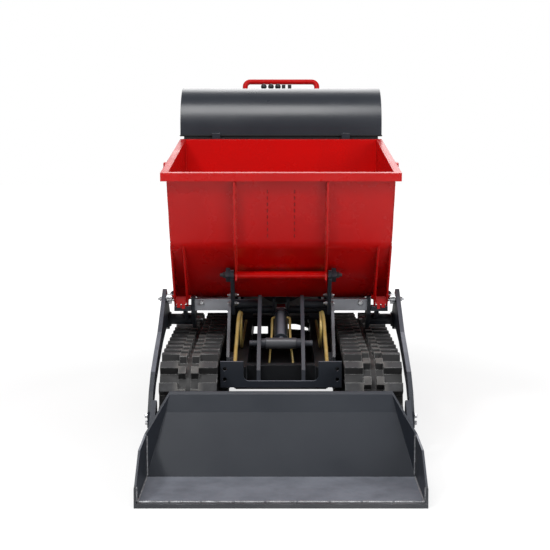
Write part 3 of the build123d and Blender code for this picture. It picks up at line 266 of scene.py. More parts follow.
# a slot's own finish is the first one that names it
slotFinish = {look["slot"]: name for name, look in reversed(finishes.items())}
for entry in frame["record"]["subparts"]:
    for slotHeld in nodes[entry["node"]].material_slots:
        slotHeld.material = made[slotFinish[entry["material_slot"]]]
# the chassis frame takes the near-black painted shade, and the ladder the lighter painted-light copy of the
# dark paint
for name, finish in (("hood", "hoodPaint"), ("chassis_frame", "shadeBlackPaint"), ("front_ladder", "ladderLitPaint")):
    nodes[name].material_slots[0].material = made[finish]
print("finishes made:", len(made))


def gridQuads(rows, columns):
    # quads between neighbours of a grid counted row by row, the last column joined to the first
    row, column = np.meshgrid(np.arange(rows - 1), np.arange(columns), indexing="ij")
    row, column = row.ravel(), column.ravel()
    beside = (column + 1) % columns
    return np.stack([row * columns + column, row * columns + beside,
                     (row + 1) * columns + beside, (row + 1) * columns + column], axis=1)


def joined(shapes):
    # several (points, quads) as one
    counts = np.cumsum([0] + [len(shape[0]) for shape in shapes[:-1]])
    points = np.concatenate([shape[0] for shape in shapes])
    return points, np.concatenate([shape[1] + count for shape, count in zip(shapes, counts)])


def mirrored(shape):
    # the shape and its copy on the other side of the machine
    points, quads = shape
    return joined([shape, (points * [-1, 1, 1], quads[:, ::-1])])


def scaled(shape, size):
    # the shape with its points multiplied by the size
    return shape[0] * size, shape[1]


def unit(rows):
    # each row divided by its length
    return rows / np.linalg.norm(rows, axis=-1, keepdims=True)


def turned(profile, sides=16):
    # rings of (radius, height) in millimetres carried round the z axis; a zero radius closes an end
    profile = np.asarray(profile, dtype=float) / 1000
    angle = np.linspace(0, 2 * np.pi, sides, endpoint=False)
    radius, height = profile[:, :1], profile[:, 1:]
    rings = np.stack([radius * np.cos(angle), radius * np.sin(angle), height + 0 * angle], axis=-1)
    return rings.reshape(-1, 3), gridQuads(len(profile), sides)


def hexShape(width, height, washer):
    # rings of twelve points: a round washer, then a head whose radius at an angle is half its width over
    # the cosine of the angle from the nearest flat, then a chamfered top closed at its middle
    angle = np.arange(12) * np.pi / 6
    flat = 0.5 * width / np.cos((angle + np.pi / 6) % (np.pi / 3) - np.pi / 6)
    circle = np.full(12, 0.5 * width)
    base = circle * washer
    rings = [(0.0, base), (0.16 * height, base), (0.2 * height, base * 0.94), (0.2 * height, flat),
             (0.88 * height, flat), (height, circle * 0.92), (height, circle * 0.0)]
    rise = np.array([ring[0] for ring in rings])[:, None]
    radius = np.array([ring[1] for ring in rings])
    points = np.stack([radius * np.cos(angle), radius * np.sin(angle), rise + 0 * angle], axis=-1)
    return points.reshape(-1, 3), gridQuads(len(rings), 12)


def stamped(shape, places, normals, spin=0.0):
    # one small shape copied to every place, its z axis along that place's normal, turned by spin about it
    points, quads = shape
    places = np.atleast_2d(np.asarray(places, dtype=float))
    normals = unit(np.broadcast_to(np.asarray(normals, dtype=float), places.shape))
    helper = np.where(np.abs(normals[:, 2:3]) < 0.9, [[0.0, 0.0, 1.0]], [[0.0, 1.0, 0.0]])
    across = unit(np.cross(helper, normals))
    other = np.cross(normals, across)
    cosine, sine = np.cos(spin), np.sin(spin)
    across, other = across * cosine + other * sine, other * cosine - across * sine
    axes = np.stack([across, other, normals], axis=1)
    copies = points[None] @ axes + places[:, None]
    shift = np.arange(len(places))[:, None, None] * len(points)
    return copies.reshape(-1, 3), (quads[None] + shift).reshape(-1, 4)


def evenPath(points, step):
    # the same line with points at equal distances
    points = np.asarray(points, dtype=float)
    run = np.concatenate([[0.0], np.cumsum(np.linalg.norm(np.diff(points, axis=0), axis=1))])
    count = max(2, int(round(run[-1] / step)) + 1)
    at = np.linspace(0, run[-1], count)
    return np.stack([np.interp(at, run, points[:, i]) for i in range(3)], axis=1)


def curvedPath(points, samples=8):
    # Catmull-Rom curve through the points
    points = np.asarray(points, dtype=float)
    padded = np.concatenate([[2 * points[0] - points[1]], points, [2 * points[-1] - points[-2]]])
    t = np.linspace(0, 1, samples, endpoint=False)[None, :, None]
    p0, p1, p2, p3 = (padded[i:len(points) - 1 + i, None] for i in range(4))
    curve = 0.5 * (2 * p1 + (p2 - p0) * t + (2 * p0 - 5 * p1 + 4 * p2 - p3) * t ** 2
                   + (3 * p1 - p0 - 3 * p2 + p3) * t ** 3)
    return np.concatenate([curve.reshape(-1, 3), points[-1:]])


alongX, alongY, alongZ = (1.0, 0.0, 0.0), (0.0, 1.0, 0.0), (0.0, 0.0, 1.0)


def tubeAlong(path, radius, sides=12, reference=alongZ):
    # circle of the radius, one value or one for each point, carried along the path, closed at both ends
    path = np.asarray(path, dtype=float)
    path = np.concatenate([path[:1], path, path[-1:]])
    tangent = np.gradient(path[1:-1], axis=0)
    tangent = unit(np.concatenate([tangent[:1], tangent, tangent[-1:]]))
    across = unit(np.cross(tangent, reference))
    other = np.cross(tangent, across)
    reach = np.broadcast_to(np.asarray(radius, dtype=float), (len(path) - 2,))
    reach = np.concatenate([[0.0], reach, [0.0]])[:, None, None]
    angle = np.linspace(0, 2 * np.pi, sides, endpoint=False)[None, :, None]
    rings = path[:, None] + reach * (np.cos(angle) * across[:, None] + np.sin(angle) * other[:, None])
    return rings.reshape(-1, 3), gridQuads(len(path), sides)


# a weld's ripple: points in each pitch, the swell, the slow drift, and the tapered ends
ripple = dict(
    samples=4, swell=0.14, drift=0.1, driftRate=61, driftPhase=3, taper=1.2, thinnest=0.25, sides=8)


def beadAlong(start, end, radius, pitch, phase, reference=alongZ):
    # a weld: a tube whose radius swells once in each pitch and wanders slowly, tapering out at its ends
    step = pitch / ripple["samples"]
    path = evenPath([start, end], step)
    s = np.arange(len(path)) * step
    swell = 1 + ripple["swell"] * np.sin(2 * np.pi * s / pitch + phase)
    swell = swell + ripple["drift"] * np.sin(s * ripple["driftRate"] + phase * ripple["driftPhase"])
    taper = np.clip(np.minimum(s, s[-1] - s) / (ripple["taper"] * radius), ripple["thinnest"], 1.0)
    return tubeAlong(path, radius * swell * taper, ripple["sides"], reference)


def slab(low, high, edge=0.0008):
    # a box between two corners with its edges taken off: rings going up, each drawn in by its inset,
    # the first and the last down to a line that closes the end
    low, high = np.asarray(low, dtype=float), np.asarray(high, dtype=float)
    square = np.array([(0, 0), (1, 0), (1, 1), (0, 1)], dtype=float)
    size = high - low
    closed = 0.5 * size[:2]
    bevelled = np.minimum(edge, closed)
    rings = []
    for rise, inset in ((0.0, closed), (0.0, bevelled), (edge, 0.0), (size[2] - edge, 0.0),
                        (size[2], bevelled), (size[2], closed)):
        corners = low[:2] + inset + square * (size[:2] - 2 * inset)
        rings.append(np.concatenate([corners, np.full((4, 1), low[2] + rise)], axis=1))
    return np.concatenate(rings), gridQuads(len(rings), 4)


def makePiece(name, shape, finish, body, sharpAngle=38.0):
    # the arrays as one mesh object: doubled points merged, normals outward, smooth between sharp edges
    points, quads = shape
    mesh = bpy.data.meshes.new(name)
    mesh.vertices.add(len(points))
    mesh.vertices.foreach_set("co", np.ascontiguousarray(points, dtype=np.float32).ravel())
    mesh.loops.add(quads.size)
    mesh.loops.foreach_set("vertex_index", np.ascontiguousarray(quads, dtype=np.int32).ravel())
    mesh.polygons.add(len(quads))
    mesh.polygons.foreach_set("loop_start", np.arange(0, quads.size, 4, dtype=np.int32))
    mesh.update(calc_edges=True)
    mesh.validate()
    merged = bmesh.new()
    merged.from_mesh(mesh)
    bmesh.ops.remove_doubles(merged, verts=merged.verts, dist=1e-6)
    bmesh.ops.recalc_face_normals(merged, faces=merged.faces)
    merged.to_mesh(mesh)
    merged.free()
    mesh.shade_smooth()
    mesh.set_sharp_from_angle(angle=math.radians(sharpAngle))
    mesh.materials.append(made[finish])
    piece = bpy.data.objects.new(name, mesh)
    bpy.context.collection.objects.link(piece)
    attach(piece, body)


# the skip's outline as (y, z) points, and its half width at floor and rim
skipLines = dict(
    rimTop=(-0.351, 0.879), bend=(-0.268, 0.632), floorFront=(-0.028, 0.43), floorHalf=0.358, topHalf=0.366,
    topZ=0.877, underRim=0.848)


def skipHalf(z):
    # half width of the tapering skip at a height
    share = (z - skipLines["floorFront"][1]) / (skipLines["topZ"] - skipLines["floorFront"][1])
    return skipLines["floorHalf"] + (skipLines["topHalf"] - skipLines["floorHalf"]) * share


def onLine(first, second, z):
    # the y at a height on a line through two (y, z) points
    return first[0] + (second[0] - first[0]) * (z - first[1]) / (second[1] - first[1])


ribWeld = dict(
    x=0.15, half=0.003, radius=0.0027, pitch=0.0042, phaseStep=1.3, turnZ=0.642, bendZ=0.62, lowZ=0.52)
cornerWeld = dict(
    radius=0.0022, pitch=0.005, phaseStep=0.9, heights=(0.85, 0.646),
    foot=((-0.253, 0.619), (-0.046, 0.4451)))
earWeld = dict(
    places=(0.317, 0.323, 0.3585), radius=0.0018, pitch=0.004, phaseStep=0.7, heights=(0.622, 0.452))


def skipWelds():
    # rippled beads in the corners between ribs, ears, side walls and the folded front
    top, bend, low = skipLines["rimTop"], skipLines["bend"], skipLines["floorFront"]
    runs = []
    for x in (ribWeld["x"] - ribWeld["half"], ribWeld["x"] + ribWeld["half"]):
        stops = [(x, onLine(top, bend, z), z) for z in (skipLines["underRim"], ribWeld["turnZ"])]
        stops += [(x, onLine(bend, low, z), z) for z in (ribWeld["bendZ"], ribWeld["lowZ"])]
        runs.append((ribWeld, stops))
    corner = [(onLine(top, bend, z), z) for z in cornerWeld["heights"]] + list(cornerWeld["foot"])
    runs.append((cornerWeld, [(skipHalf(z), y, z) for y, z in corner]))
    for x in earWeld["places"]:
        runs.append((earWeld, [(x, onLine(bend, low, z), z) for z in earWeld["heights"]]))
    beads = []
    phase = 0.0
    for weld, stops in runs:
        for start, end in zip(stops[:-1], stops[1:]):
            beads.append(beadAlong(start, end, weld["radius"], weld["pitch"], phase, alongX))
            phase += weld["phaseStep"]
    return mirrored(joined(beads))


stitch = dict(
    x=0.044, radius=0.0017, dash=0.013, pitch=0.021, ripplePitch=0.003, phaseStep=1.7, lowZ=0.662,
    highZ=0.842)


def stitchWelds():
    # two rows of short dashes up the front wall
    top, bend = skipLines["rimTop"], skipLines["bend"]
    dashes = []
    for number, z in enumerate(np.arange(stitch["lowZ"], stitch["highZ"] - stitch["dash"], stitch["pitch"])):
        start, end = ((stitch["x"], onLine(top, bend, height), height) for height in (z, z + stitch["dash"]))
        dashes.append(beadAlong(start, end, stitch["radius"], stitch["ripplePitch"],
                                number * stitch["phaseStep"], alongX))
    return mirrored(joined(dashes))


spatter = dict(
    count=190, size=(0.7, 1.7), sizes=5, heights=(0.655, 0.845), clear=0.004, spread=0.016, seed=11)


def weldSpatter():
    # small domes strewn beside the ribs, closer together near the weld, standing off the front wall
    chance = np.random.default_rng(spatter["seed"])
    count = spatter["count"]
    z = chance.uniform(*spatter["heights"], count)
    side = chance.choice([-1, 1], count)
    x = ribWeld["x"] + side * (spatter["clear"] + np.abs(chance.normal(0, spatter["spread"] / 2, count)))
    x = x * chance.choice([-1, 1], count)
    top, bend = skipLines["rimTop"], skipLines["bend"]
    places = np.stack([x, onLine(top, bend, z), z], axis=1)
    outward = (0.0, bend[1] - top[1], top[0] - bend[0])
    dome = turned([(0, -0.3), (0.9, -0.2), (1, 0.1), (0.7, 0.6), (0, 0.85)], 6)
    sizes = spatter["sizes"]
    return joined([stamped(scaled(dome, size), places[number::sizes], outward)
                   for number, size in enumerate(np.linspace(*spatter["size"], sizes))])


makePiece("skip_weld_beads", skipWelds(), "redWeld", "skip", 60.0)
makePiece("skip_stitch_welds", stitchWelds(), "darkRedWeld", "skip", 60.0)
makePiece("skip_weld_spatter", weldSpatter(), "redWeld", "skip", 60.0)
print("skip welds laid")

shovelWeld = dict(
    half=0.4, plate=0.006, edgeY=-1.067, creaseY=-0.792, edgeRadius=0.004, edgePitch=0.006, edgeRuns=9,
    edgeStep=2.1, edgeLift=0.006, behind=0.001, overlap=0.002, cornerRadius=0.0028, cornerPitch=0.005,
    cornerStep=1.1, clear=0.004, sideZ=(0.012, 0.056), wingZ=0.13)


def shovelWelds():
    # a rough run behind the cutting edge, and beads where floor, sides, wings and back meet
    floorZ, edgeY, creaseY = shovelWeld["plate"], shovelWeld["edgeY"], shovelWeld["creaseY"]
    inner, wingX = shovelWeld["half"] - floorZ, shovelWeld["half"] - floorZ - shovelWeld["behind"]
    y, z = edgeY + shovelWeld["behind"], floorZ + shovelWeld["edgeLift"]
    stops = np.linspace(-inner, inner, shovelWeld["edgeRuns"] + 1)
    beads = [beadAlong((start, y, z), (end + shovelWeld["overlap"], y, z), shovelWeld["edgeRadius"],
                       shovelWeld["edgePitch"], number * shovelWeld["edgeStep"])
             for number, (start, end) in enumerate(zip(stops[:-1], stops[1:]))]
    floorSide = ((inner, edgeY, floorZ), (inner, creaseY - shovelWeld["clear"], floorZ))
    side = [(inner, y, height) for height in shovelWeld["sideZ"]]
    wing = ((wingX, creaseY, floorZ), (wingX, creaseY, shovelWeld["wingZ"]))
    for number, (start, end) in enumerate((floorSide, side, wing)):
        beads.append(mirrored(beadAlong(start, end, shovelWeld["cornerRadius"], shovelWeld["cornerPitch"],
                                        number * shovelWeld["cornerStep"], alongX)))
    return joined(beads)


makePiece("shovel_weld_beads", shovelWelds(), "bareWeld", "shovel", 60.0)
print("shovel welds laid")

# hexagon heads as width across flats, height and washer's share, and the thread end beyond a nut
small, middle, large = hexShape(0.01, 0.005, 1.25), hexShape(0.013, 0.008, 1.3), hexShape(0.019, 0.011, 1.3)
threadEnd = turned([(0, 0), (4, 0), (4, 12.5), (3.2, 13.5), (0, 13.5)], 12)
chassisNut = dict(
    uprightFaces=(0.158, 0.17), uprights=((-0.094, 0.4475), (-0.114, 0.4215)), portal=(0.272, -0.1, 0.421),
    pivot=(0.0, 0.349), pivotFaces=(0.296, 0.412), rearPin=(0.402, 0.51, 0.375), pivotThread=1.7)


def chassisNuts():
    # plated nuts, some with a little thread: on the portal, its uprights, the arms' pivots and the rear pins
    inner, outer = ([(x, y, z) for y, z in chassisNut["uprights"]] for x in chassisNut["uprightFaces"])
    pivotInner, pivotOuter = ((x, *chassisNut["pivot"]) for x in chassisNut["pivotFaces"])
    nut = joined([middle, threadEnd])
    pivot = joined([large, scaled(threadEnd, chassisNut["pivotThread"])])
    return mirrored(joined([
        stamped(nut, inner, (-1, 0, 0), 0.4), stamped(nut, outer, (1, 0, 0), 0.2),
        stamped(middle, chassisNut["portal"], (0, -1, 0), 0.3), stamped(pivot, pivotInner, (-1, 0, 0), 0.5),
        stamped(large, pivotOuter, (1, 0, 0), 0.2), stamped(large, chassisNut["rearPin"], (1, 0, 0), 0.1),
    ]))


# each row's x, y and z values, the way the heads face, and their size
screwRows = {
    "bayFront": ((0.365,), (0.5397,), (0.44, 0.62, 0.8, 0.93), (0, -1, 0), 1.0),
    "bayRear": ((0.35,), (0.9303,), (0.42, 0.6, 0.78, 0.935), (0, 1, 0), 1.0),
    "baySides": ((0.3803,), (0.555, 0.915), (0.385, 0.955), (1, 0, 0), 1.0),
    "hoodHinges": ((0.226, 0.274), (0.5355,), (0.9475,), (0, -1, 0), 0.8),
    "doorLeaves": ((0.384,), (0.9225,), (0.468, 0.792), (1, 0, 0), 0.8),
    "console": ((0.138,), (0.955, 1.013), (1.0922,), (0, 0, 1), 0.7),
}


def frameScrews():
    # dark screws of every row, on both sides
    parts = []
    for xs, ys, zs, facing, size in screwRows.values():
        places = [(x, y, z) for x in xs for y in ys for z in zs]
        parts.append(stamped(scaled(small, size), places, facing))
    return mirrored(joined(parts))


motorRing = dict(centre=(0.325, 0.428, 0.152), radius=0.058, count=10)


def motorBolts():
    # bolt heads evenly round each motor's hub, whose axis lies across the machine
    angle = np.arange(motorRing["count"]) * 2 * np.pi / motorRing["count"]
    ring = motorRing["radius"] * np.stack([0 * angle, np.cos(angle), np.sin(angle)], axis=1)
    return mirrored(stamped(small, motorRing["centre"] + ring, (1, 0, 0)))


makePiece("chassis_nuts", chassisNuts(), "zincPlate", "chassis")
makePiece("frame_screws", frameScrews(), "blackScrew", "chassis")
makePiece("motor_bolts", motorBolts(), "zincPlate", "chassis")

armBolt = dict(x=0.406, foot=((-0.6385, 0.152), (-0.63, 0.128)), crank=(-0.119, 0.437))
earBolt = dict(outer=0.3645, inner=0.317, at=(-0.098, 0.44))
hingeNut = dict(place=(0.1844, -0.19, 0.528), thread=1.5)


def armBolts():
    # two heads on each arm's foot, and the crank pin's nut
    foot = [(armBolt["x"], y, z) for y, z in armBolt["foot"]]
    nut = joined([middle, threadEnd])
    return mirrored(joined([stamped(middle, foot, (1, 0, 0), 0.3),
                            stamped(nut, (armBolt["x"], *armBolt["crank"]), (1, 0, 0), 0.1)]))


def earBolts():
    # a head on either face of each ear
    return mirrored(joined([stamped(middle, (earBolt["outer"], *earBolt["at"]), (1, 0, 0), 0.2),
                            stamped(middle, (earBolt["inner"], *earBolt["at"]), (-1, 0, 0), 0.2)]))


def hingeNuts():
    # a nut on each end of the skip's hinge pin
    nut = joined([large, scaled(threadEnd, hingeNut["thread"])])
    return mirrored(stamped(nut, hingeNut["place"], (1, 0, 0), 0.3))


makePiece("arm_bolts", armBolts(), "zincPlate", "shovel")
makePiece("ear_bolts", earBolts(), "redPaint", "skip")
makePiece("hinge_pin_nuts", hingeNuts(), "blackScrew", "skip")
print("bolts and nuts set")

belly = dict(
    half=0.146, front=-0.412, rear=0.345, top=0.1897, thickness=0.004, screwX=0.13, firstScrew=0.05,
    screwPitch=0.16, screwSize=0.9)


def bellyPlate():
    # thin plate under the rails, ending short of the engine bay
    return slab((-belly["half"], belly["front"], belly["top"] - belly["thickness"]),
                (belly["half"], belly["rear"], belly["top"]), 0.0006)


def bellyScrews():
    # a row of screws on each side, heads down
    places = [(belly["screwX"], y, belly["top"] - belly["thickness"])
              for y in np.arange(belly["front"] + belly["firstScrew"], belly["rear"], belly["screwPitch"])]
    return mirrored(stamped(scaled(small, belly["screwSize"]), places, (0, 0, -1)))


# the belly plate's near-black finish is painted shade
makePiece("belly_plate", bellyPlate(), "shadeBlackPaint", "chassis")
makePiece("belly_screws", bellyScrews(), "blackScrew", "chassis")
print("belly plate fitted")

# the engine bay's side and rear walls, and how far a pressing sinks into them
bayFace = dict(side=0.38, rear=0.93, sink=0.0002)
louvre = dict(
    places=(0.68, 0.79), midZ=0.73, pitch=0.03, count=8, length=0.094, height=0.012, reach=0.0062,
    lift=0.004)
rearLouvre = dict(
    places=(-0.13, 0.13), midZ=0.59, pitch=0.022, count=9, length=0.228, height=0.01, reach=0.0055,
    lift=0.003)


def lipShape(lip):
    # pressed scoop: a crescent across z, its depth a flat-topped arch along its length; x is out, y along
    along = np.linspace(-1, 1, 15)[:, None]
    arch = np.clip((1 - np.abs(along)) * 7, 0, 1) ** 0.5
    turn = np.linspace(0, np.pi / 2, 7)
    outer = np.stack([np.cos(turn), np.sin(turn)], axis=1)
    section = np.concatenate([outer, outer[::-1] * 0.8])
    x = lip["reach"] * arch * section[:, 0]
    z = lip["height"] * (0.35 + 0.65 * arch) * (section[:, 1] - 0.15)
    y = along * lip["length"] / 2 + 0 * x
    x[0] = x[-1] = 0.0
    z[0] = z[0].mean()
    z[-1] = z[-1].mean()
    return np.stack([x, y, z], axis=-1).reshape(-1, 3), gridQuads(15, len(section))


def rowHeights(lip):
    # even heights about the middle, lifted a little over the slots
    return lip["midZ"] + (np.arange(lip["count"]) - (lip["count"] - 1) / 2) * lip["pitch"] + lip["lift"]


def doorLouvres():
    # a scoop over each slot of the door on the +x side
    points, quads = lipShape(louvre)
    x = bayFace["side"] - bayFace["sink"]
    return joined([(points + [x, y, z], quads) for y in louvre["places"] for z in rowHeights(louvre)])


def rearLouvres():
    # the same on the rear wall, the scoops turned to stand out along y
    points, quads = lipShape(rearLouvre)
    points = np.stack([-points[:, 1], points[:, 0], points[:, 2]], axis=1)
    y, heights = bayFace["rear"] - bayFace["sink"], rowHeights(rearLouvre)
    return joined([(points + [x, y, z], quads) for x in rearLouvre["places"] for z in heights])


doorLatch = dict(place=(0.605, 0.665), bar=0.03, barRadius=0.0052, barHeight=0.015, bow=0.0022)
doorHinge = dict(place=(0.387, 0.897), heights=(0.478, 0.802), below=0.026)


def latchShape():
    # round plate, short stem and a T-shaped turning bar, out along z; the bar bows and its ends are rounded
    plate = turned([(0, 0), (24, 0), (24, 2.2), (22.5, 3.6), (10, 3.6), (8.5, 6), (7.5, 12), (0, 12)], 28)
    bar = np.linspace(-1, 1, 13)[:, None]
    height = doorLatch["barHeight"] - doorLatch["bow"] * bar ** 2
    path = np.concatenate([bar * doorLatch["bar"], 0 * bar, height], axis=1)
    radius = doorLatch["barRadius"] * np.sqrt(np.clip(1.02 - np.abs(bar[:, 0]) ** 5, 0.05, 1))
    return joined([plate, tubeAlong(path, radius, 12, alongY)])


def doorPieces(side, body, tag):
    # louvres, latch and hinge pins of one door, made on the +x side and mirrored for the left
    pin, quads = turned([(0, 0), (3, 0), (3, 46), (4.8, 46.5), (4.8, 49), (0, 49.6)], 14)
    x, y = doorHinge["place"]
    pins = joined([(pin + [x, y, z - doorHinge["below"]], quads) for z in doorHinge["heights"]])
    latch = stamped(latchShape(), (bayFace["side"], *doorLatch["place"]), (1, 0, 0))
    for name, (points, quads), finish in (("door_louvres", doorLouvres(), "darkPaint"),
                                          ("door_latch", latch, "blackPlastic"),
                                          ("door_hinge_pins", pins, "zincPlate")):
        if side < 0:
            points, quads = points * [-1, 1, 1], quads[:, ::-1]
        makePiece(f"{name}_{tag}", (points, quads), finish, body)


doorPieces(1, "right_door", "right")
doorPieces(-1, "left_door", "left")
makePiece("rear_louvres", rearLouvres(), "darkPaint", "chassis")

# the hood's strap, its grip and head, and the keeper below: y is half a width, z a low and a high
hoodCatch = dict(
    x=0.39, y=0.8, strap=(0.005, 0.011, 0.984, 1.03), head=(0.0058, 0.015, 1.02, 1.046),
    grip=(-0.014, -0.005, 0.005, 0.014), gripZ=0.989, gripRadius=0.0042, gripOut=0.0058)
keeper = dict(
    base=((0.3801, 0.3822), 0.013, (0.944, 0.966)), lip=((0.3822, 0.388), 0.009, (0.958, 0.9605)),
    screws=(-0.008, 0.008), screwX=0.3822, screwZ=0.949, screwSize=0.6)


def hoodCatches():
    # rubber pull strap with a grip on each side of the hood, above its keeper
    x, y = hoodCatch["x"], hoodCatch["y"]
    strap, head = (slab((x, y - half, low), (x + depth, y + half, high), 0.0014)
                   for depth, half, low, high in (hoodCatch["strap"], hoodCatch["head"]))
    gripX, gripZ = x + hoodCatch["gripOut"], hoodCatch["gripZ"]
    grip = tubeAlong([(gripX, y + reach, gripZ) for reach in hoodCatch["grip"]], hoodCatch["gripRadius"])
    return mirrored(joined([strap, grip, head]))


def catchKeepers():
    # a formed hook on the frame below each strap
    y = hoodCatch["y"]
    base, lip = (slab((near, y - half, low), (far, y + half, high), 0.0006)
                 for (near, far), half, (low, high) in (keeper["base"], keeper["lip"]))
    places = [(keeper["screwX"], y + reach, keeper["screwZ"]) for reach in keeper["screws"]]
    screws = stamped(scaled(small, keeper["screwSize"]), places, (1, 0, 0))
    return mirrored(joined([base, lip, screws]))


makePiece("hood_catches", hoodCatches(), "sealRubber", "engine_hood")
makePiece("hood_catch_keepers", catchKeepers(), "zincPlate", "chassis")

hoodEdge = dict(x=0.3895, front=0.5475, rear=0.9495, z=0.9812, corner=0.006, radius=0.0034)


def hoodTrim():
    # rubber edging carried round the hood's lower rim: a quarter circle at each corner
    front, rear, corner = hoodEdge["front"], hoodEdge["rear"], hoodEdge["corner"]
    angle = np.linspace(0, np.pi / 2, 5)[:, None]
    quarter = np.concatenate([np.cos(angle), np.sin(angle)], axis=1) * corner
    reach = np.array([hoodEdge["x"] - corner, (rear - front) / 2 - corner])
    loop = []
    for signs in ((1, 1), (-1, 1), (-1, -1), (1, -1)):
        arc = quarter if signs[0] * signs[1] > 0 else quarter[::-1]
        loop.append([0.0, (rear + front) / 2] + reach * signs + arc * signs)
    loop = np.concatenate(loop + [loop[0][:1]])
    path = np.concatenate([loop, np.full((len(loop), 1), hoodEdge["z"])], axis=1)
    return tubeAlong(path, hoodEdge["radius"], 10)


makePiece("hood_edge_trim", hoodTrim(), "sealRubber", "engine_hood")
print("hood and doors dressed")

console = dict(
    levers=(-0.072, -0.042, -0.013, 0.011, 0.036), leverY=0.982, top=1.092, rear=1.024,
    plate=((-0.094, 0.962), (0.058, 1.002), 0.0018), faceZ=1.04, switchX=0.075, buttonX=-0.075)
starter = dict(stem=((0.0735, 0.002, 1.0365), (0.0765, 0.012, 1.0435)), bowX=0.0737, bowOut=0.019)


def leverBoots():
    # a ribbed rubber boot round the foot of each lever
    boot = turned([(0, 0), (12.8, 0), (12.8, 2), (11.2, 3.6), (11.8, 5.2), (10, 6.6), (10.6, 8.2),
                   (8.8, 9.6), (9.2, 11.2), (7.2, 12.8), (6, 16.8), (0, 16.8)], 22)
    return stamped(boot, [(x, console["leverY"], console["top"]) for x in console["levers"]], (0, 0, 1))


def leverPlate():
    # thin plate under the boots
    low, high, thickness = console["plate"]
    return slab((*low, console["top"]), (*high, console["top"] + thickness), 0.0005)


def onConsole(shape, x):
    # a shape made out along z, set on the console's rear face
    return stamped(shape, (x, console["rear"], console["faceZ"]), (0, 1, 0))


def switchAndGauge():
    # collar of the starter switch and a bare round gauge
    collar = turned([(0, 0), (15, 0), (15, 3), (13, 4.8), (11, 4.8), (10.5, 2), (0, 2)], 28)
    gauge = turned([(0, 0), (26, 0), (26, 4), (24.5, 6.2), (22.5, 6.2), (21.5, 4), (0, 4)], 36)
    return joined([onConsole(collar, console["switchX"]), onConsole(gauge, 0.0)])


def stopButton():
    # a mushroom head on a short stem
    return onConsole(turned([(0, 0), (11, 0), (11, 10), (17, 12), (18.5, 16), (17, 20), (10, 22.5),
                             (0, 23.2)], 30), console["buttonX"])


def starterKey():
    # a flat stem and a round bow
    bow = turned([(0, 0), (8.5, 0), (9.5, 0.8), (9.5, 1.8), (8.5, 2.6), (0, 2.6)], 20)
    stem = slab(*((x, console["rear"] + out, z) for x, out, z in starter["stem"]), 0.0004)
    place = (starter["bowX"], console["rear"] + starter["bowOut"], console["faceZ"])
    return joined([stem, stamped(bow, place, (1, 0, 0))])


makePiece("lever_boots", leverBoots(), "sealRubber", "chassis")
makePiece("lever_plate", leverPlate(), "greyPaint", "chassis")
makePiece("switch_and_gauge", switchAndGauge(), "blackPlastic", "chassis")
makePiece("stop_button", stopButton(), "redPaint", "chassis")
makePiece("starter_key", starterKey(), "zincPlate", "chassis")
print("console fitted")

# heights count from the block's top; finReach is half a fin's width, and every other fin is shorter
cylinder = dict(
    top=0.598, firstFin=0.01, lastFin=0.13, finPitch=0.012, finReach=0.07, finStep=0.002, middleX=-0.02,
    finY=(0.665, 0.8), finThickness=0.0035, barrel=((-0.068, 0.69, 0.0), (0.028, 0.775, 0.15)),
    cover=((-0.08, 0.682, 0.14), (0.04, 0.783, 0.178)))
fanPlace = (0.0, 0.5945, 0.44)
cleanerPlace = (0.105, 0.735, 0.0)
silencerPlace = (-0.115, 0.64, 0.06)
outlet = dict(
    radius=0.013,
    path=((-0.115, 0.82, 0.06), (-0.115, 0.855, 0.062), (-0.115, 0.88, 0.085), (-0.115, 0.885, 0.13)))


def onBlock(place):
    # a place whose height counts from the block's top
    return place[0], place[1], cylinder["top"] + place[2]


def cylinderFins():
    # cylinder with cooling fins and a rocker cover on the plain block
    heights = np.arange(cylinder["top"] + cylinder["firstFin"], cylinder["top"] + cylinder["lastFin"],
                        cylinder["finPitch"])
    front, back = cylinder["finY"]
    parts = []
    for number, z in enumerate(heights):
        reach = cylinder["finReach"] - cylinder["finStep"] * (number % 2)
        parts.append(slab((-reach + cylinder["middleX"], front, z),
                          (reach + cylinder["middleX"], back, z + cylinder["finThickness"])))
    parts.append(slab(*map(onBlock, cylinder["barrel"]), 0.004))
    parts.append(slab(*map(onBlock, cylinder["cover"]), 0.008))
    return joined(parts)


def fanCover():
    # pressed fan cover with raised rings and a starter cup in the middle
    fan = turned([(0, 0), (118, 0), (121, 6), (117, 30), (106, 37), (94, 37), (91, 34), (82, 34),
                  (79, 37), (67, 37), (64, 34), (55, 34), (52, 38), (47, 44), (40, 46), (12, 46),
                  (10, 43), (0, 43)], 48)
    return stamped(fan, fanPlace, (0, -1, 0))


def cleanerAndSilencer():
    # round air cleaner, and the silencer with its bent outlet
    cleaner = turned([(0, 0), (58, 0), (62, 6), (62, 22), (65, 26), (65, 34), (62, 38), (60, 80),
                      (52, 90), (20, 92), (18, 98), (0, 99)], 36)
    silencer = turned([(0, 0), (40, 0), (47, 6), (48, 12), (48, 168), (47, 174), (40, 180), (0, 180)], 32)
    pipe = tubeAlong(curvedPath([onBlock(place) for place in outlet["path"]]), outlet["radius"], 16, alongX)
    return joined([stamped(cleaner, onBlock(cleanerPlace), (0, 0, 1)),
                   stamped(silencer, onBlock(silencerPlace), (0, 1, 0)), pipe])


tankCap = dict(
    place=(0.275, 0.69, 0.702), points=60, knurls=15, depth=0.03, knurlZ=(0.01, 0.027), knurlFrom=0.03)
tankHose = dict(
    radius=0.0085, lines=(0.64, 0.672), endRise=0.02,
    stops=((0.275, 0.0, 0.702), (0.272, -0.002, 0.735), (0.235, -0.006, 0.752), (0.195, -0.012, 0.72),
           (0.186, -0.016, 0.64), (0.188, -0.02, 0.48), (0.186, -0.02, 0.3)))


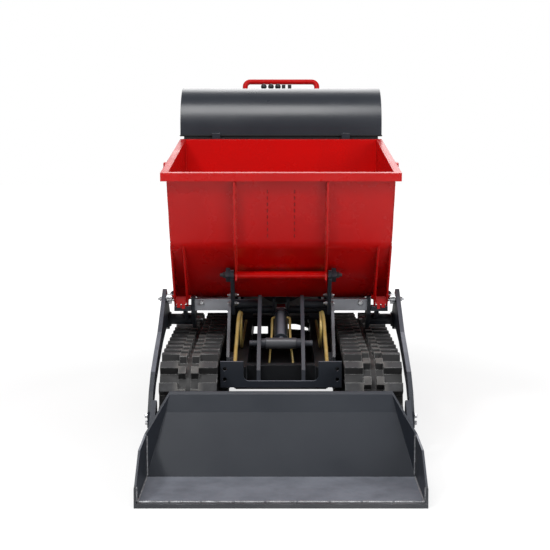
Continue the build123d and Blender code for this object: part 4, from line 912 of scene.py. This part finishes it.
def tankCaps():
    # knurled filler caps: rings of (radius, height), the outer ones stepping in and out round the rim
    angle = np.linspace(0, 2 * np.pi, tankCap["points"], endpoint=False)
    knurl = 1 + tankCap["depth"] * np.sign(np.sin(angle * tankCap["knurls"]))
    low, high = tankCap["knurlZ"]
    rings = []
    for radius, height in ((0.0, 0.0), (0.026, 0.0), (0.026, 0.008), (0.034, 0.009), (0.035, 0.012),
                           (0.035, 0.026), (0.032, 0.03), (0.01, 0.031), (0.0, 0.031)):
        onRim = low <= height <= high and radius > tankCap["knurlFrom"]
        reach = radius * (knurl if onRim else 1.0)
        rings.append(np.stack([reach * np.cos(angle), reach * np.sin(angle), height + 0 * angle], axis=1))
    cap = (np.concatenate(rings), gridQuads(len(rings), tankCap["points"]))
    return mirrored(stamped(cap, tankCap["place"], (0, 0, 1)))


def tankHoses():
    # two return hoses on each side, from the tank down to the chassis; the second ends a little higher
    hoses = []
    for side in (-1, 1):
        for number, start in enumerate(tankHose["lines"]):
            route = [(side * x, start + back, z) for x, back, z in tankHose["stops"]]
            route[-1] = (*route[-1][:2], route[-1][2] + tankHose["endRise"] * number)
            hoses.append(tubeAlong(curvedPath(route), tankHose["radius"], 12, (0.3, 1.0, 0.1)))
    return joined(hoses)


makePiece("engine_cylinder", cylinderFins(), "engineAlloy", "chassis")
makePiece("engine_fan_cover", fanCover(), "motorIron", "chassis")
makePiece("air_cleaner_and_silencer", cleanerAndSilencer(), "blackScrew", "chassis")
makePiece("tank_caps", tankCaps(), "blackPlastic", "chassis")
makePiece("tank_hoses", tankHoses(), "sealRubber", "chassis")
print("engine dressed")

frontPipe = dict(
    radius=0.0062,
    path=((0.141, -0.106, 0.389), (0.1445, -0.15, 0.372), (0.1475, -0.235, 0.318), (0.149, -0.3, 0.288),
          (0.149, -0.345, 0.272), (0.149, -0.372, 0.264)))
lowerPipe = dict(
    radius=0.004,
    path=((0.034, -0.236, 0.292), (0.037, -0.24, 0.262), (0.041, -0.252, 0.225), (0.044, -0.262, 0.1905)))
# the barrel runs from base to eye, both (y, z); stops are (x, distance from the pin, height above the axis)
barrelPipe = dict(
    radius=0.0042, base=(-0.282, 0.312), eye=(0.02, 0.38),
    stops=((0.02, 0.204, 0.01), (0.0275, 0.2, 0.011), (0.0305, 0.188, 0.01), (0.0305, 0.14, 0.008),
           (0.0305, 0.09, 0.006), (0.0315, 0.046, 0.002), (0.032, 0.03, -0.012)))


def frontPipes():
    # one gold pipe on each side, from under the portal forward to the rails
    return mirrored(tubeAlong(curvedPath(frontPipe["path"], 6), frontPipe["radius"], 12, alongX))


def lowerPipes():
    # the barrel's pair going on from the boss down to the plate under the rails
    return mirrored(tubeAlong(curvedPath(lowerPipe["path"], 5), lowerPipe["radius"], 10, alongX))


def barrelPipes():
    # thin pipes along the tipping barrel
    base, eye = np.array(barrelPipe["base"]), np.array(barrelPipe["eye"])
    along = (eye - base) / np.linalg.norm(eye - base)
    above = np.array([-along[1], along[0]])
    path = [(x, *(base + along * reach + above * height)) for x, reach, height in barrelPipe["stops"]]
    return mirrored(tubeAlong(curvedPath(path, 5), barrelPipe["radius"], 10))


bulkhead = dict(
    y=(0.552, 0.558), half=0.146, low=0.15, foot=0.202, window=0.231, top=0.275, post=(-0.052, 0.024),
    lap=0.002, gap=0.001, outer=0.199, sideTop=0.305)
bayHose = dict(
    radius=0.0105, y=0.5415,
    runs=(((0.01, 0.263), (0.08, 0.247), (0.15, 0.219)), ((0.01, 0.214), (0.08, 0.209), (0.15, 0.203))))


def bulkheadPlates():
    # upright plate in front of the engine bay, open on the right of its post and in a window on the left,
    # and a narrow plate outside each rail
    near, far = bulkhead["y"]
    half, low, gap = bulkhead["half"], bulkhead["low"], bulkhead["gap"]
    left, right = bulkhead["post"]
    outside = mirrored(slab((half + gap, near, low), (bulkhead["outer"], far, bulkhead["sideTop"])))
    return joined([outside, slab((-half, near, low), (half, far, bulkhead["foot"])),
                   slab((-half, near, bulkhead["window"]), (left + bulkhead["lap"], far, bulkhead["top"])),
                   slab((left, near, low + gap), (right, far, bulkhead["top"]))])


def bayHoses():
    # black hoses crossing from the middle to the right rail
    routes = [[(x, bayHose["y"], z) for x, z in run] for run in bayHose["runs"]]
    return joined([tubeAlong(curvedPath(route, 6), bayHose["radius"], 14, alongY) for route in routes])


bossSleeve = dict(half=0.05, inner=0.0171, outer=0.0188, edge=0.0005, at=(-0.282, 0.312), sides=36)


def sleeve():
    # grey sleeve round the barrel's boss: a closed section of (x, radius) turned about the pin
    half, inner, outer, edge = (bossSleeve[key] for key in ("half", "inner", "outer", "edge"))
    section = np.array([(-half, inner), (-half, outer - edge), (-half + edge, outer), (half - edge, outer),
                        (half, outer - edge), (half, inner), (-half, inner)])
    angle = np.linspace(0, 2 * np.pi, bossSleeve["sides"], endpoint=False)
    y, z = bossSleeve["at"]
    x, reach = section[:, :1], section[:, 1:]
    rings = np.stack([x + 0 * angle, y + reach * np.cos(angle), z + reach * np.sin(angle)], axis=-1)
    return rings.reshape(-1, 3), gridQuads(len(section), bossSleeve["sides"])


earFoot = dict(
    x=(0.3235, 0.358), y=(-0.128, -0.122), low=0.403, shoulder=0.42, high=0.447, inset=0.0007, lap=0.002,
    gap=0.002, innerX=0.004, outerX=0.003, step=0.004)


def earFeet():
    # small plate closing each pair of ears in front, its lower edge in two stepped teeth
    (near, far), (front, back) = earFoot["x"], earFoot["y"]
    middle = (near + far) / 2
    plate = slab((near, front, earFoot["shoulder"]), (far, back, earFoot["high"]))
    front, back = front + earFoot["inset"], back - earFoot["inset"]
    top = earFoot["shoulder"] + earFoot["lap"]
    teeth = [slab((near + earFoot["innerX"], front, earFoot["low"]), (middle - earFoot["gap"], back, top)),
             slab((middle + earFoot["gap"], front, earFoot["low"] + earFoot["step"]),
                  (far - earFoot["outerX"], back, top))]
    return mirrored(joined([plate] + teeth))


makePiece("ear_foot_plates", earFeet(), "redPaint", "skip")
makePiece("front_pipes", frontPipes(), "goldPassivated", "chassis")
makePiece("barrel_pipes", barrelPipes(), "goldPassivated", "tipping_barrel")
makePiece("lower_pipes", lowerPipes(), "goldPassivated", "chassis")
# the bulkhead's near-black finish is painted shade
makePiece("chassis_bulkhead", bulkheadPlates(), "shadeBlackPaint", "chassis")
makePiece("bay_hoses", bayHoses(), "sealRubber", "chassis")
makePiece("boss_sleeve", sleeve(), "greyPaint", "tipping_barrel")
print("front pipes laid")

studio = dict(
    floorSize=30.0, floorColour=0.8, seenColour=0.3, liftFrom=1.1, liftTo=3.0, nearLift=0.72, farLift=1.0,
    worldLight=0.25)


def whiteFloor():
    # matt pale floor; seen directly it is lifted towards white, more with distance, and keeps the shadow
    material = bpy.data.materials.new("paleFloor")
    material.use_nodes = True
    tree = material.node_tree
    tree.nodes.remove(tree.nodes["Principled BSDF"])
    matt, seenMatt = (addNode(tree, "ShaderNodeBsdfDiffuse", Color=(studio[key],) * 3 + (1.0,))
                      for key in ("floorColour", "seenColour"))
    place = addNode(tree, "ShaderNodeTexCoord").outputs["Object"]
    away = addNode(tree, "ShaderNodeVectorMath", place, operation="LENGTH").outputs["Value"]
    lift = between(tree, away, studio["liftFrom"], studio["liftTo"], studio["nearLift"], studio["farLift"])
    glow = addNode(tree, "ShaderNodeEmission", Color=(1.0, 1.0, 1.0, 1.0), Strength=lift)
    lifted = addNode(tree, "ShaderNodeAddShader", seenMatt.outputs[0], glow.outputs[0])
    cameraRay = addNode(tree, "ShaderNodeLightPath").outputs["Is Camera Ray"]
    seen = addNode(tree, "ShaderNodeMixShader", cameraRay, matt.outputs[0], lifted.outputs[0])
    tree.links.new(seen.outputs[0], tree.nodes["Material Output"].inputs["Surface"])
    return material


half = studio["floorSize"] / 2
floorMesh = bpy.data.meshes.new("floor")
corners = [(-half, -half, 0), (half, -half, 0), (half, half, 0), (-half, half, 0)]
floorMesh.from_pydata(corners, [], [(0, 1, 2, 3)])
floorMesh.materials.append(whiteFloor())
floor = bpy.data.objects.new("floor", floorMesh)
bpy.context.collection.objects.link(floor)

# the world lights the machine softly and is white where it is seen directly
world = bpy.data.worlds.new("softRoom")
bpy.context.scene.world = world
world.use_nodes = True
worldTree = world.node_tree
worldBack = worldTree.nodes["Background"]
worldBack.inputs["Color"].default_value = (1.0, 1.0, 1.0, 1.0)
worldRay = addNode(worldTree, "ShaderNodeLightPath")
worldStrength = between(worldTree, worldRay.outputs["Is Camera Ray"], 0.0, 1.0, studio["worldLight"], 1.0)
worldTree.links.new(worldStrength, worldBack.inputs["Strength"])

lamps = {
    "keyLamp": dict(at=(-2.3, -3.6, 4.1), to=(0.0, 0.0, 0.7), size=0.8, power=86.0),
    "fillLamp": dict(at=(3.4, -3.4, 2.4), to=(0.0, -0.4, 0.4), size=2.6, power=84.0),
    "topLamp": dict(at=(-0.3, -1.6, 4.4), to=(0.0, -0.1, 0.4), size=2.2, power=100.0),
    "backLamp": dict(at=(0.6, 4.8, 3.4), to=(0.0, 0.0, 0.6), size=3.2, power=80.0),
}
for name, lamp in lamps.items():
    data = bpy.data.lights.new(name, "AREA")
    data.shape = "SQUARE"
    data.size = lamp["size"]
    data.energy = lamp["power"]
    thing = bpy.data.objects.new(name, data)
    bpy.context.collection.objects.link(thing)
    away = np.array(lamp["to"]) - np.array(lamp["at"])
    yaw = math.atan2(away[0], away[1])
    drop = math.atan2(-away[2], math.hypot(away[0], away[1]))
    thing.location = lamp["at"]
    thing.rotation_euler = (math.pi / 2 - drop, 0.0, -yaw)

cameraSetting = dict(place=(0.0, -4.48, 1.06), pitch=7.07, focal=84.4, sensor=36.0, shiftX=-0.0109)
cameraData = bpy.data.cameras.new("camera")
cameraData.lens = cameraSetting["focal"]
cameraData.sensor_width = cameraSetting["sensor"]
cameraData.shift_x = cameraSetting["shiftX"]
camera = bpy.data.objects.new("camera", cameraData)
bpy.context.collection.objects.link(camera)
camera.location = cameraSetting["place"]
camera.rotation_euler = (math.radians(90.0 - cameraSetting["pitch"]), 0.0, 0.0)
bpy.context.scene.camera = camera
bpy.context.scene.view_settings.view_transform = "Standard"
print("light and camera set")
